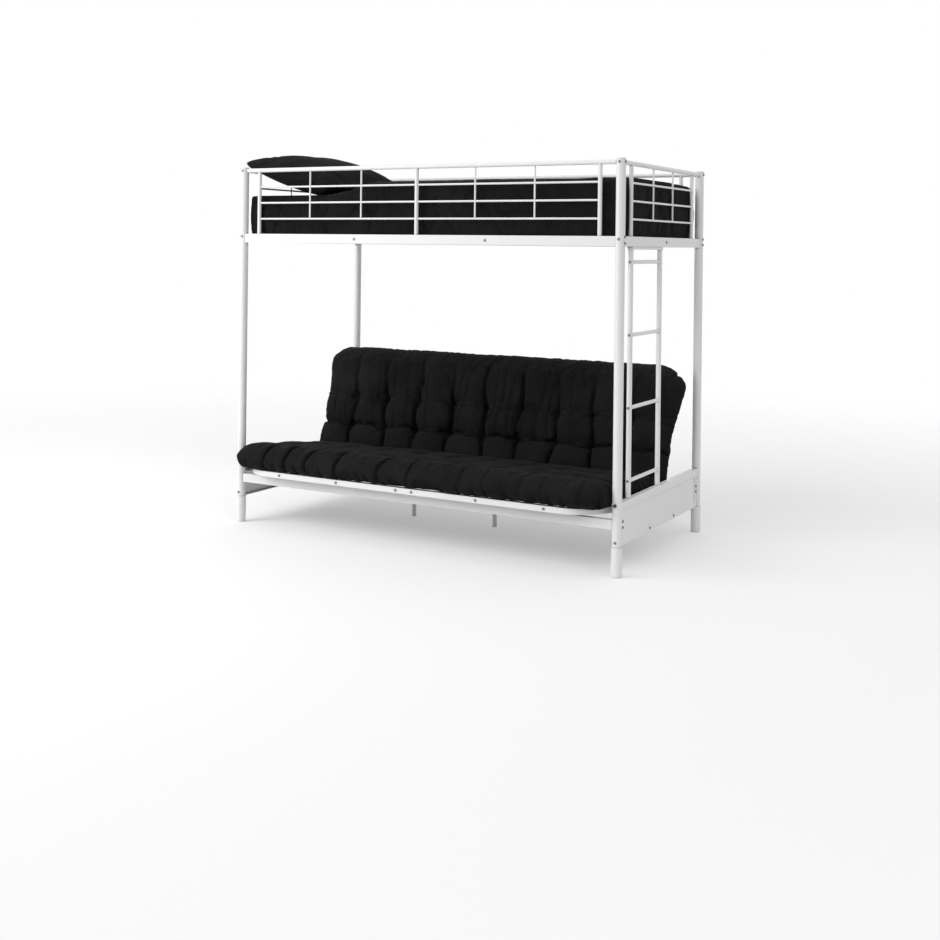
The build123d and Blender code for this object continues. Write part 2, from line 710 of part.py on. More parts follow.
def futon_pad(section_plane, half_width, face_tip, end_foot, end_bulge, row_shares, corner_radii):
    """Make one pad. Its section runs from the fold to the free end, over the frame's top."""
    fold_slope = tan(radians((180 - back_angle) / 2))
    fold_foot = Vector(cushion_underside / fold_slope + slip_gap, cushion_underside)
    fold_top = Vector(fold_height / fold_slope + slip_gap, fold_height)
    creases = [fold_top + (face_tip - fold_top) * share for share in row_shares]
    side_sign = section_plane.z_dir.X
    face_start_3d = section_plane.from_local_coords(fold_top)
    face_run = section_plane.from_local_coords(face_tip) - face_start_3d
    column_plane = Plane(origin=face_start_3d, x_dir=x_axis, z_dir=face_run * -side_sign)
    outline_plane = Plane(
        origin=section_plane.origin, x_dir=x_axis, z_dir=x_axis.cross(section_plane.x_dir)
    )
    pitch = 2 * half_width / cushion_columns
    reach = max(end_foot.X, (face_tip.X + end_foot.X) / 2 + end_bulge)
    with BuildPart() as pad:
        with BuildSketch(section_plane):
            with BuildLine():
                Line(fold_foot, fold_top)
                for low, high in zip(creases, creases[1:]):
                    bulge(low, high, row_rise)
                bulge(face_tip, end_foot, end_bulge)
                Line(end_foot, fold_foot)
            make_face()
        extrude(amount=half_width, both=True)
        with BuildSketch(column_plane):
            with BuildLine():
                left_edge = Vector(-half_width, -cushion_edge_drop)
                right_edge = Vector(half_width, -cushion_edge_drop)
                first_crease = Vector(pitch - half_width, 0)
                last_crease = Vector(half_width - pitch, 0)
                crown = Vector(pitch * first_crown_share - half_width, column_rise)
                ThreePointArc(left_edge, crown, first_crease)
                for column in range(1, cushion_columns - 1):
                    start = Vector(column * pitch - half_width, 0)
                    bulge(start, start + x_axis * pitch, column_rise)
                ThreePointArc(last_crease, Vector(-crown.X, crown.Y), right_edge)
                Line(right_edge, right_edge - y_axis * overrun)
                Line(right_edge - y_axis * overrun, left_edge - y_axis * overrun)
                Line(left_edge - y_axis * overrun, left_edge)
            make_face()
        extrude(amount=overrun, both=True, mode=Mode.INTERSECT)
        with BuildSketch(outline_plane) as outline:
            with BuildLine():
                for edge in (-half_width, half_width):
                    drawn = Vector(edge - cushion_side_draw * edge / half_width, reach / 2)
                    ThreePointArc((edge, 0), drawn, (edge, reach))
                Line((-half_width, 0), (half_width, 0))
                Line((-half_width, reach), (half_width, reach))
            make_face()
            for which, radius in zip((0, -1), corner_radii):
                far_corners = outline.vertices().group_by(Axis.Y)[-1].sort_by(Axis.X)
                fillet(far_corners[which], radius=radius)
        extrude(amount=overrun, both=True, mode=Mode.INTERSECT)
    return pad


seat_cushion = futon_pad(
    Plane(origin=hinge, x_dir=-y_axis, z_dir=-x_axis),
    half_length - post_radius - seat_post_gap,
    Vector(seat_face_end, seat_free_height),
    Vector(seat_end_foot, cushion_underside),
    seat_cushion_reach - (seat_face_end + seat_end_foot) / 2,
    seat_row_shares,
    (seat_corner_radius, seat_corner_radius),
)
keep(seat_cushion, "seat_cushion")

back_cushion_reach = back_frame_length + futon_tube + back_cushion_overhang
back_face_end = back_cushion_reach - back_face_set_back
back_cushion = futon_pad(
    Plane(origin=hinge, x_dir=up_back, z_dir=x_axis),
    half_length - back_post_set_in,
    Vector(back_face_end, back_free_height),
    Vector(back_cushion_reach, cushion_underside),
    back_end_bulge,
    back_row_shares,
    (back_left_radius, back_right_radius),
)
keep(back_cushion, "back_cushion")

# Upper mattress: crowned on top, a little lower at the pillow's end, with drawn-in sides
mattress_low = slat_low + slat_height + slip_gap
mattress_half_length = half_length - mattress_set_in
mattress_half_depth = bed_depth / 2 - mattress_set_in
with BuildPart() as upper_mattress:
    with BuildSketch(Plane.XZ.offset(-middle_y)):
        with BuildLine():
            low_left = Vector(mattress_edge_inset - mattress_half_length, mattress_low)
            low_right = Vector(mattress_half_length - mattress_edge_inset, mattress_low)
            top_left = low_left + y_axis * mattress_low_thickness
            low_end = top_left + x_axis * mattress_low_length
            ramp_end = Vector(low_end.X + mattress_ramp_length, mattress_low + mattress_thickness)
            top_right = low_right + y_axis * mattress_thickness
            Line(low_left, low_right)
            bulge(low_right, top_right, -mattress_edge_inset)
            bulge(top_right, ramp_end, -mattress_crown)
            Line(ramp_end, low_end)
            Line(low_end, top_left)
            bulge(top_left, low_left, -mattress_edge_inset)
        make_face()
    extrude(amount=mattress_half_depth, both=True)
    with BuildSketch(Plane.YZ):
        with BuildLine():
            low_front = Vector(middle_y + mattress_edge_inset - mattress_half_depth, mattress_low)
            low_rear = Vector(middle_y + mattress_half_depth - mattress_edge_inset, mattress_low)
            top_front = low_front + y_axis * mattress_thickness
            top_rear = low_rear + y_axis * mattress_thickness
            Line(low_front, low_rear)
            bulge(low_rear, top_rear, -mattress_edge_inset)
            bulge(top_rear, top_front, -mattress_crown)
            bulge(top_front, low_front, -mattress_edge_inset)
        make_face()
    extrude(amount=bed_length, both=True, mode=Mode.INTERSECT)
    with BuildSketch(Plane.XY) as outline:
        with BuildLine():
            plan = [
                Vector(-mattress_half_length, middle_y - mattress_half_depth),
                Vector(mattress_half_length, middle_y - mattress_half_depth),
                Vector(mattress_half_length, middle_y + mattress_half_depth),
                Vector(-mattress_half_length, middle_y + mattress_half_depth),
            ]
            for start, end in zip(plan, plan[1:] + plan[:1]):
                bulge(start, end, mattress_side_draw)
        make_face()
        fillet(outline.vertices(), radius=mattress_corner_radius)
    extrude(amount=2 * overrun, both=True, mode=Mode.INTERSECT)
keep(upper_mattress, "upper_mattress")

# Pillow: plump, with drawn-in sides, tipped up so that it leans on the left guard's rail
# and rests on the mattress. Its lower face is an arc, and both places follow from it.
tilt_cos = cos(radians(pillow_tilt))
tilt_sin = sin(radians(pillow_tilt))
face_radius = ((pillow_width / 2) ** 2 + pillow_crown ** 2) / (2 * pillow_crown)
face_centre = face_radius - pillow_crown - pillow_edge / 2
pillow_set_in = pillow_width / 2 * tilt_cos - pillow_overhang
rail_run = pillow_set_in + face_centre * tilt_sin
rail_reach = face_radius + guard_rail_diameter / 2 + pillow_gap
height_on_rail = top_rail_height + sqrt(rail_reach ** 2 - rail_run ** 2) - face_centre * tilt_cos
mattress_low_top = mattress_low + mattress_low_thickness
height_on_mattress = mattress_low_top + pillow_gap + face_radius - face_centre * tilt_cos
pillow_height = max(height_on_rail, height_on_mattress)
pillow_middle = (pillow_set_in - half_length, middle_y + pillow_middle_y, pillow_height)
pillow_plane = Plane(origin=pillow_middle).rotated((0, pillow_tilt, 0))
pillow_thickness = pillow_edge + 2 * pillow_crown


def pillow_section(width, crown):
    """Draw the pillow's section: crowned faces between two upright sides."""
    low_left = Vector(-width / 2, -pillow_edge / 2)
    low_right = Vector(width / 2, -pillow_edge / 2)
    top_right = Vector(width / 2, pillow_edge / 2)
    top_left = Vector(-width / 2, pillow_edge / 2)
    bulge(low_left, low_right, -crown)
    Line(low_right, top_right)
    bulge(top_right, top_left, -crown)
    Line(top_left, low_left)


with BuildPart() as pillow:
    with BuildSketch(Plane(pillow_plane.origin, x_dir=pillow_plane.x_dir, z_dir=-pillow_plane.y_dir)):
        with BuildLine():
            pillow_section(pillow_width, pillow_crown)
        make_face()
    extrude(amount=pillow_depth, both=True)
    with BuildSketch(Plane(pillow_plane.origin, x_dir=pillow_plane.y_dir, z_dir=pillow_plane.x_dir)):
        with BuildLine():
            pillow_section(pillow_depth, pillow_end_crown)
        make_face()
    extrude(amount=pillow_width, both=True, mode=Mode.INTERSECT)
    with BuildSketch(pillow_plane) as outline:
        half_width = pillow_width / 2
        half_depth = pillow_depth / 2
        with BuildLine():
            plan = [
                Vector(-half_width, -half_depth),
                Vector(half_width, -half_depth),
                Vector(half_width, half_depth),
                Vector(-half_width, half_depth),
            ]
            for start, end in zip(plan, plan[1:] + plan[:1]):
                bulge(start, end, pillow_side_draw)
        make_face()
        fillet(outline.vertices(), radius=pillow_corner_radius)
    extrude(amount=pillow_thickness, both=True, mode=Mode.INTERSECT)
keep(pillow, "pillow")
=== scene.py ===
import math
from dataclasses import dataclass

import bmesh
import bpy
import numpy as np
from bpy.props import FloatProperty, FloatVectorProperty, IntProperty, PointerProperty
from mathutils import Matrix, Vector, noise


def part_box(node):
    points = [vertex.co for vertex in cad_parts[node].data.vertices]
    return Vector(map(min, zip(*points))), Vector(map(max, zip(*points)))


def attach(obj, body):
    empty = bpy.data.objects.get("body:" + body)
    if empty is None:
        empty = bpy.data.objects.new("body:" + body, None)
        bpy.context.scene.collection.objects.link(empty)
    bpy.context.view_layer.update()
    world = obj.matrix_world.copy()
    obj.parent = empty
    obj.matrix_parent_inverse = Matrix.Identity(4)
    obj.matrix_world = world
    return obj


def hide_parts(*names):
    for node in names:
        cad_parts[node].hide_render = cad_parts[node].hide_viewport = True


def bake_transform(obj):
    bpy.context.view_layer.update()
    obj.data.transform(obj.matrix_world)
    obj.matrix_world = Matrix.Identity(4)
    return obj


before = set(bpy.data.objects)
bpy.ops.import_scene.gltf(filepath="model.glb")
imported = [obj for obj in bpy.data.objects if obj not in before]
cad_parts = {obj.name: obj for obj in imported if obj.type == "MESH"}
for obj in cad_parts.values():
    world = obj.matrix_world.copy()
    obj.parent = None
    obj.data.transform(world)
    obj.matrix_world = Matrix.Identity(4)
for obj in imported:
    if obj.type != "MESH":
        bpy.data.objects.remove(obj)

# A white steel loft bed with a fold-out futon below its sleeping deck. Lengths are in
# metres. X runs along the bed towards the ladder, Y runs to the back and Z runs up.

bl_info = {
    "name": "Loft bed with futon",
    "version": (1, 0, 0),
    "blender": (4, 5, 0),
    "location": "3D View > Sidebar > Loft bed",
    "description": "Dresses a steel loft bed: painted steel, bolts, welds, futon and bedding",
    "category": "Object",
}

# The steel frame's lines, which the weld beads follow
HALF_LENGTH = 0.980       # from the middle to the post centres, along the bed
HALF_DEPTH = 0.480        # and across it
MIDDLE_Y = 0.04825        # the deck's middle, as the futon makes the bed deeper in front
TOP_RAIL_HEIGHT = 1.693
DECK_RAIL_TOP = 1.389
GUARD_BAR_HEIGHTS = (1.612, 1.537, 1.461)
SIDE_UPRIGHTS = (-0.888, 0.0, 0.888)
SIDE_BARS = (-0.588, -0.299, 0.299, 0.588)
END_UPRIGHTS = (-0.371, 0.371)
END_BARS = (-0.118, 0.118)
STILE_PLACES = (-0.365, -0.032)
RUNG_HEIGHTS = (0.374, 0.677, 0.980, 1.283)
PANEL_TOP = 0.302
LADDER_TOP = 1.335

# Radii of its tubes and bars, and the height of a bolt's head
POST_RADIUS = 0.020
TOP_RAIL_RADIUS = 0.010
UPRIGHT_RADIUS = 0.009
THIN_UPRIGHT_RADIUS = 0.004
BAR_RADIUS = 0.0045
STILE_RADIUS = 0.011
RUNG_RADIUS = 0.008
BOLT_HEAD_HEIGHT = 0.0035

# The futon's hinge line, and the directions of its seat and of its raised back
HINGE = (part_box("hinge_pins")[0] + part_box("hinge_pins")[1]) / 2
BACK_ANGLE = math.radians(60)
SEAT_ALONG = Vector((0, -1, 0))
SEAT_UP = Vector((0, 0, 1))
BACK_ALONG = Vector((0, math.cos(BACK_ANGLE), math.sin(BACK_ANGLE)))
BACK_UP = Vector((0, -math.sin(BACK_ANGLE), math.cos(BACK_ANGLE)))

# The pads meet in a plane that halves the angle between them. Heights are over the hinge.
FOLD_SLOPE = math.tan(math.radians(60))
FOLD_HEIGHT = 0.042
FOLD_TOP_ALONG = FOLD_HEIGHT / FOLD_SLOPE
PAD_UNDERSIDE = 0.0128
STRIP_TOP = 0.033

# Grids of the soft pieces: the gap between two points
FINE_GRID = 0.0125
COARSE_GRID = 0.0165

# Colours of the bolts, and of the knob and the glides
ZINC_COLOUR = (0.30, 0.30, 0.31)
BLACK_PLASTIC_COLOUR = (0.02, 0.02, 0.021)

# Nodes of the frame by the finish that they get
PLAIN_STEEL = (
    "post_front_left", "post_front_right", "post_rear_left", "post_rear_right",
    "leg_front_left", "leg_front_right", "leg_rear_left", "leg_rear_right",
    "guard_front", "guard_rear", "guard_left", "guard_right",
    "ladder_stile_front", "ladder_stile_rear",
    "ladder_rung_1", "ladder_rung_2", "ladder_rung_3", "ladder_rung_4",
    "mid_leg_left", "mid_leg_right",
)
BOX_STEEL = {
    "frame": (
        "stretcher_front", "stretcher_rear", "side_rail_front", "side_rail_rear",
        "end_rail_left", "end_rail_right", "deck_slats", "ladder_head_bar",
    ),
    "seat": (
        "seat_front_rail", "seat_corner_left", "seat_corner_right", "seat_side_left",
        "seat_side_right", "seat_rear_bar", "seat_slats",
    ),
    "back": (
        "back_side_left", "back_side_right", "back_top_rail", "back_bottom_bar", "back_slats",
    ),
}
SHEET_STEEL = {
    "frame": ("end_panel_left", "end_panel_right", "slide_track_left", "slide_track_right"),
}
BOLT_NODES = {
    "post_bolts": "frame", "panel_bolts": "frame", "rail_bolts": "frame",
    "ladder_bolts": "frame", "seat_bolts": "seat",
}


class SteelSettings(bpy.types.PropertyGroup):
    """Finish of the painted steel."""

    paint: FloatVectorProperty(
        name="Paint", description="Colour of the powder coat",
        subtype="COLOR", size=3, min=0, max=1, default=(0.80, 0.80, 0.795),
    )
    roughness: FloatProperty(
        name="Roughness", description="Roughness of the powder coat",
        min=0, max=1, default=0.34,
    )
    corner_radius: FloatProperty(
        name="Corner radius", description="Rounding of the rectangular tubes' edges",
        subtype="DISTANCE", unit="LENGTH", min=0.0005, max=0.006, default=0.0025,
    )
    fold_radius: FloatProperty(
        name="Fold radius", description="Rounding of the folded sheets' edges",
        subtype="DISTANCE", unit="LENGTH", min=0.0002, max=0.002, default=0.0008,
    )


class FutonSettings(bpy.types.PropertyGroup):
    """Shape and fabric of the futon's two pads."""

    fabric: FloatVectorProperty(
        name="Fabric", description="Colour of the futon's cotton",
        subtype="COLOR", size=3, min=0, max=1, default=(0.0070, 0.0070, 0.0076),
    )
    puff_depth: FloatProperty(
        name="Puff depth", description="Depth of the creases between the tufted puffs",
        subtype="DISTANCE", unit="LENGTH", min=0.005, max=0.05, default=0.020,
    )
    columns: IntProperty(
        name="Columns", description="Number of puffs across the futon",
        min=4, max=16, default=10,
    )
    slack: FloatProperty(
        name="Slack", description="Share by which the cover is larger than its filling",
        min=0, max=0.3, default=0.10,
    )
    pressure: FloatProperty(
        name="Pressure", description="Pressure of the filling on the cover",
        min=0, max=20, default=4.0,
    )
    travel: FloatProperty(
        name="Travel", description="Furthest that the filling may push the cover",
        subtype="DISTANCE", unit="LENGTH", min=0.002, max=0.03, default=0.014,
    )


class BeddingSettings(bpy.types.PropertyGroup):
    """Fabric of the mattress and pillow on the deck."""

    fabric: FloatVectorProperty(
        name="Fabric", description="Colour of the bedding's smooth cotton",
        subtype="COLOR", size=3, min=0, max=1, default=(0.0068, 0.0068, 0.0075),
    )
    slack: FloatProperty(
        name="Slack", description="Share by which the covers are larger than their filling",
        min=0, max=0.3, default=0.05,
    )


class LoftBedSettings(bpy.types.PropertyGroup):
    """All settings of the bed."""

    steel: PointerProperty(type=SteelSettings)
    futon: PointerProperty(type=FutonSettings)
    bedding: PointerProperty(type=BeddingSettings)


# Small helpers for materials

def start_material(name, colour, roughness, metallic=0.0):
    """Make a material and hand back it, its tree and its main shader."""
    material = bpy.data.materials.new(name)
    material.use_nodes = True
    tree = material.node_tree
    main = tree.nodes["Principled BSDF"]
    main.inputs["Base Color"].default_value = (*colour, 1)
    main.inputs["Roughness"].default_value = roughness
    main.inputs["Metallic"].default_value = metallic
    return material, tree, main


def add_node(tree, kind, **inputs):
    """Add a node and set the values of the inputs that are named, with _ for a space."""
    node = tree.nodes.new(kind)
    for name, value in inputs.items():
        node.inputs[name.replace("_", " ")].default_value = value
    return node


def add_noise(tree, coordinate, scale, detail=3.0, roughness=0.5):
    """Add a noise pattern on a coordinate."""
    pattern = add_node(tree, "ShaderNodeTexNoise", Scale=scale, Detail=detail, Roughness=roughness)
    tree.links.new(coordinate, pattern.inputs["Vector"])
    return pattern.outputs["Fac"]


def blend_colours(tree, factor, low, high):
    """Blend two colours by a factor."""
    ramp = tree.nodes.new("ShaderNodeValToRGB")
    ramp.color_ramp.elements[0].position = 0.3
    ramp.color_ramp.elements[1].position = 0.7
    ramp.color_ramp.elements[0].color = (*low, 1)
    ramp.color_ramp.elements[1].color = (*high, 1)
    tree.links.new(factor, ramp.inputs["Fac"])
    return ramp.outputs["Color"]


def spread(tree, factor, low, high):
    """Map a factor between 0 and 1 to a range."""
    mapped = add_node(tree, "ShaderNodeMapRange", To_Min=low, To_Max=high)
    tree.links.new(factor, mapped.inputs["Value"])
    return mapped.outputs["Result"]


def add_bump(tree, height, strength, distance, below=None):
    """Add a bump from a height, on top of another bump if one is given."""
    bump = add_node(tree, "ShaderNodeBump", Strength=strength, Distance=distance)
    tree.links.new(height, bump.inputs["Height"])
    if below is not None:
        tree.links.new(below, bump.inputs["Normal"])
    return bump.outputs["Normal"]


def shaded(colour, share):
    """Scale a colour."""
    return tuple(min(1.0, part * share) for part in colour)


def mix_colours(tree, blend, factor, first, second):
    """Blend two colours. The factor and the colours are sockets or fixed values."""
    node = tree.nodes.new("ShaderNodeMix")
    node.data_type = "RGBA"
    node.blend_type = blend
    for name, value in (("Factor", factor), ("A", first), ("B", second)):
        if isinstance(value, bpy.types.NodeSocket):
            tree.links.new(value, node.inputs[name])
        else:
            node.inputs[name].default_value = value
    return node.outputs["Result"]


def mix_shaders(tree, factor, first, second):
    """Blend two shaders by a factor."""
    node = tree.nodes.new("ShaderNodeMixShader")
    for number, socket in enumerate((factor, first, second)):
        tree.links.new(socket, node.inputs[number])
    return node.outputs["Shader"]


def calculate(tree, operation, first, second):
    """Combine two numbers."""
    node = tree.nodes.new("ShaderNodeMath")
    node.operation = operation
    tree.links.new(first, node.inputs[0])
    tree.links.new(second, node.inputs[1])
    return node.outputs["Value"]


def place_on(tree):
    """The place of a point on its own piece."""
    return tree.nodes.new("ShaderNodeTexCoord").outputs["Object"]


def paint_corner_shade(tree, colour, reach, darkest):
    """Darken a colour in inner corners by ambient occlusion: painted shade."""
    corners = add_node(tree, "ShaderNodeAmbientOcclusion", Distance=reach)
    corners.samples = 6
    grey = add_node(
        tree, "ShaderNodeMapRange", From_Min=0.45, From_Max=0.85, To_Min=darkest, To_Max=1.0
    )
    tree.links.new(corners.outputs["AO"], grey.inputs["Value"])
    return mix_colours(tree, "MULTIPLY", 1.0, colour, grey.outputs["Result"])


def powder_coat(name, colour, roughness):
    """Satin powder coat: a faint orange peel, slight clouding, a few dull spots and painted shade
    in its inner corners.
    """
    material, tree, main = start_material(name, colour, roughness)
    place = place_on(tree)
    clouds = add_noise(tree, place, 5.0)
    clouded = blend_colours(tree, clouds, shaded(colour, 0.975), colour)
    # Painted shade: the paint darkens in inner corners, where shadow falls.
    corner_shaded = paint_corner_shade(tree, clouded, reach=0.012, darkest=0.25)
    tree.links.new(corner_shaded, main.inputs["Base Color"])
    dull = add_noise(tree, place, 38.0, detail=6.0)
    tree.links.new(
        spread(tree, dull, roughness - 0.06, roughness + 0.08), main.inputs["Roughness"]
    )
    waves = add_bump(tree, add_noise(tree, place, 60.0, detail=2.0), 0.06, 0.001)
    peel = add_bump(tree, add_noise(tree, place, 900.0, detail=1.0), 0.12, 0.0002, below=waves)
    tree.links.new(peel, main.inputs["Normal"])
    main.inputs["Specular IOR Level"].default_value = 0.45
    return material


def zinc(name, colour):
    """Dull zinc plating with a fine grain and darker stains."""
    material, tree, main = start_material(name, colour, 0.42, metallic=0.85)
    place = place_on(tree)
    stains = add_noise(tree, place, 260.0, detail=4.0)
    tree.links.new(
        blend_colours(tree, stains, shaded(colour, 0.6), colour), main.inputs["Base Color"]
    )
    tree.links.new(spread(tree, stains, 0.34, 0.55), main.inputs["Roughness"])
    grain = add_bump(tree, add_noise(tree, place, 2600.0, detail=1.0), 0.2, 0.0001)
    tree.links.new(grain, main.inputs["Normal"])
    return material


def moulded_plastic(name, colour, roughness):
    """Moulded plastic with a fine spark-eroded grain."""
    material, tree, main = start_material(name, colour, roughness)
    place = place_on(tree)
    clouds = add_noise(tree, place, 30.0)
    tree.links.new(
        blend_colours(tree, clouds, shaded(colour, 0.92), colour), main.inputs["Base Color"]
    )
    tree.links.new(
        spread(tree, clouds, roughness - 0.05, roughness + 0.07), main.inputs["Roughness"]
    )
    grain = add_bump(tree, add_noise(tree, place, 1500.0, detail=2.0), 0.3, 0.0002)
    tree.links.new(grain, main.inputs["Normal"])
    return material


def weave(tree, flat, thread, slub):
    """Height of crossed threads of a width, made uneven by their slubs."""
    threads = []
    for direction in ("X", "Y"):
        wave = add_node(
            tree, "ShaderNodeTexWave",
            Scale=1 / thread, Distortion=slub, Detail=1.0, Detail_Scale=0.3,
        )
        wave.bands_direction = direction
        tree.links.new(flat, wave.inputs["Vector"])
        threads.append(wave.outputs["Fac"])
    return calculate(tree, "MULTIPLY", *threads)


def woven_cotton(name, colour, thread, sheen, slub):
    """Woven cotton on the piece's own flat layout, with painted shade where its crease value is
    high.
    """
    material, tree, main = start_material(name, colour, 0.92)
    source = tree.nodes.new("ShaderNodeTexCoord")
    flat = source.outputs["UV"]
    place = source.outputs["Object"]
    fading = add_noise(tree, place, 6.0, detail=5.0, roughness=0.6)
    faded = blend_colours(tree, fading, shaded(colour, 0.62), shaded(colour, 1.5))
    lint = add_noise(tree, flat, 340.0, detail=8.0, roughness=0.75)
    dusty = mix_colours(tree, "ADD", lint, faded, (*shaded(colour, 0.9), 1))
    # Painted shade: the colour blends towards a dark copy where the crease attribute is high.
    crease = tree.nodes.new("ShaderNodeAttribute")
    crease.attribute_name = "crease"
    crease_shade_colour = (*shaded(colour, 0.15), 1)
    crease_shaded = mix_colours(tree, "MIX", crease.outputs["Fac"], dusty, crease_shade_colour)
    tree.links.new(crease_shaded, main.inputs["Base Color"])
    rumple = add_bump(tree, add_noise(tree, place, 55.0, detail=4.0), 0.25, 0.004)
    woven = add_bump(tree, weave(tree, flat, thread, slub), 0.35, 0.0004, below=rumple)
    tree.links.new(woven, main.inputs["Normal"])
    main.inputs["Sheen Weight"].default_value = sheen
    main.inputs["Sheen Roughness"].default_value = 0.45
    main.inputs["Sheen Tint"].default_value = (0.62, 0.62, 0.66, 1)
    main.inputs["Specular IOR Level"].default_value = 0.06
    return material


def stitching(name, colour):
    """Twisted black thread."""
    material, tree, main = start_material(name, colour, 0.7)
    place = place_on(tree)
    twist = add_noise(tree, place, 1400.0, detail=2.0)
    tree.links.new(
        blend_colours(tree, twist, shaded(colour, 0.6), shaded(colour, 1.5)),
        main.inputs["Base Color"],
    )
    tree.links.new(add_bump(tree, twist, 0.5, 0.0003), main.inputs["Normal"])
    main.inputs["Sheen Weight"].default_value = 0.2
    return material


def finish_of(name):
    """Hand back one of the bed's materials, made the first time that it is asked for."""
    settings = bpy.context.scene.loft_bed
    paint = tuple(settings.steel.paint)
    futon = tuple(settings.futon.fabric)
    bedding = tuple(settings.bedding.fabric)
    finishes = {
        "white_powder_coat": lambda: powder_coat(name, paint, settings.steel.roughness),
        "zinc_plating": lambda: zinc(name, ZINC_COLOUR),
        "white_plastic": lambda: moulded_plastic(name, shaded(paint, 0.97), roughness=0.46),
        "black_plastic": lambda: moulded_plastic(name, BLACK_PLASTIC_COLOUR, roughness=0.42),
        "futon_cotton": lambda: woven_cotton(name, futon, thread=0.0021, sheen=0.022, slub=1.2),
        "bedding_cotton": lambda: woven_cotton(name, bedding, thread=0.0012, sheen=0.02, slub=0.4),
        "tuft_thread": lambda: stitching(name, futon),
    }
    return bpy.data.materials.get(name) or finishes[name]()


# Small helpers for meshes

def deselect_all():
    """Leave object mode with nothing selected."""
    if bpy.context.mode != "OBJECT":
        bpy.ops.object.mode_set(mode="OBJECT")
    bpy.ops.object.select_all(action="DESELECT")


def take(piece):
    """Select one piece alone and make it the active one."""
    deselect_all()
    piece.select_set(True)
    bpy.context.view_layer.objects.active = piece


def dress(piece, material):
    """Give a piece one material."""
    piece.data.materials.clear()
    piece.data.materials.append(finish_of(material))
    for face in piece.data.polygons:
        face.material_index = 0


def place_in_mesh(piece):
    """Move a piece's place into its mesh, so that its object sits at the origin."""
    take(piece)
    bpy.ops.object.transform_apply(location=True, rotation=True, scale=True)


def apply_modifier(piece, kind, **values):
    """Add a modifier with the values given, and apply it."""
    take(piece)
    modifier = piece.modifiers.new(kind.title(), kind)
    for name, value in values.items():
        setattr(modifier, name, value)
    bpy.ops.object.modifier_apply(modifier=modifier.name)


def round_off(piece, width, segments, degrees=50):
    """Round the edges of a piece that are sharper than an angle."""
    apply_modifier(
        piece, "BEVEL",
        width=width, segments=segments, limit_method="ANGLE", angle_limit=math.radians(degrees),
    )


def smooth_by_angle(piece, degrees):
    """Smooth the shading of a piece, apart from edges sharper than an angle."""
    take(piece)
    bpy.ops.object.shade_smooth_by_angle(angle=math.radians(degrees))


def join_all(pieces, name):
    """Join pieces into one and name it."""
    deselect_all()
    for piece in pieces:
        piece.select_set(True)
    bpy.context.view_layer.objects.active = pieces[0]
    if len(pieces) > 1:
        bpy.ops.object.join()
    pieces[0].name = name
    pieces[0].data.name = name
    return pieces[0]


def copies(template, places, name):
    """Copy a piece to each place, each copy with its own mesh, and join the copies."""
    made = []
    for number, place in enumerate(places):
        mesh = template.data.copy()
        mesh.transform(place)
        piece = bpy.data.objects.new(f"{name}_{number}", mesh)
        bpy.context.scene.collection.objects.link(piece)
        made.append(piece)
    bpy.data.objects.remove(template)
    return join_all(made, name)


def facing(seat, direction):
    """The place of a copy whose own Z points in a direction."""
    turn = Vector(direction).to_track_quat("Z", "Y").to_matrix().to_4x4()
    return Matrix.Translation(seat) @ turn


def disc(radius, low, high, sides=32):
    """Add a disc about the Z axis between two heights."""
    deselect_all()
    bpy.ops.mesh.primitive_cylinder_add(
        vertices=sides, radius=radius, depth=high - low, location=(0, 0, (low + high) / 2)
    )
    piece = bpy.context.object
    place_in_mesh(piece)
    return piece


def stand_for(piece, node, body, material):
    """Give a piece its material, and let it stand for a node of the frame."""
    dress(piece, material)
    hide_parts(node)
    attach(piece, body)


def softened(node, body, width, segments, material):
    """Let a copy with rounded edges stand for a node, with its loose triangles merged."""
    piece = bpy.data.objects.new(f"{node}_finished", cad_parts[node].data.copy())
    bpy.context.scene.collection.objects.link(piece)
    take(piece)
    bpy.ops.object.mode_set(mode="EDIT")
    bpy.ops.mesh.select_all(action="SELECT")
    bpy.ops.mesh.remove_doubles(threshold=0.00001)
    bpy.ops.mesh.dissolve_limited(angle_limit=math.radians(0.4))
    bpy.ops.object.mode_set(mode="OBJECT")
    round_off(piece, width, segments)
    smooth_by_angle(piece, 35)
    stand_for(piece, node, body, material)
    return piece


def loose_parts(node):
    """List the places of a node's separate solids, each as an array of points."""
    mesh = bmesh.new()
    mesh.from_mesh(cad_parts[node].data)
    bmesh.ops.remove_doubles(mesh, verts=mesh.verts, dist=0.00001)
    left = set(mesh.verts)
    parts = []
    while left:
        first = left.pop()
        found = [first]
        waiting = [first]
        while waiting:
            for edge in waiting.pop().link_edges:
                for vertex in edge.verts:
                    if vertex in left:
                        left.remove(vertex)
                        found.append(vertex)
                        waiting.append(vertex)
        parts.append(np.array([vertex.co for vertex in found]))
    mesh.free()
    return sorted(parts, key=lambda points: tuple(points.mean(0).round(4)))


# Steel, bolts, welds and caps

class LOFTBED_OT_steel(bpy.types.Operator):
    """Give the steel its powder coat, and round the edges of its tubes and folded sheets"""

    bl_idname = "loftbed.steel"
    bl_label = "Painted steel"

    def execute(self, context):
        steel = context.scene.loft_bed.steel
        for node in PLAIN_STEEL:
            dress(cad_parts[node], "white_powder_coat")
        for group, radius in ((BOX_STEEL, steel.corner_radius), (SHEET_STEEL, steel.fold_radius)):
            for body, nodes in group.items():
                for node in nodes:
                    piece = softened(node, body, radius, 2, "white_powder_coat")
                    apply_modifier(piece, "WEIGHTED_NORMAL", keep_sharp=True)
        dress(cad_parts["hinge_pins"], "zinc_plating")
        return {"FINISHED"}


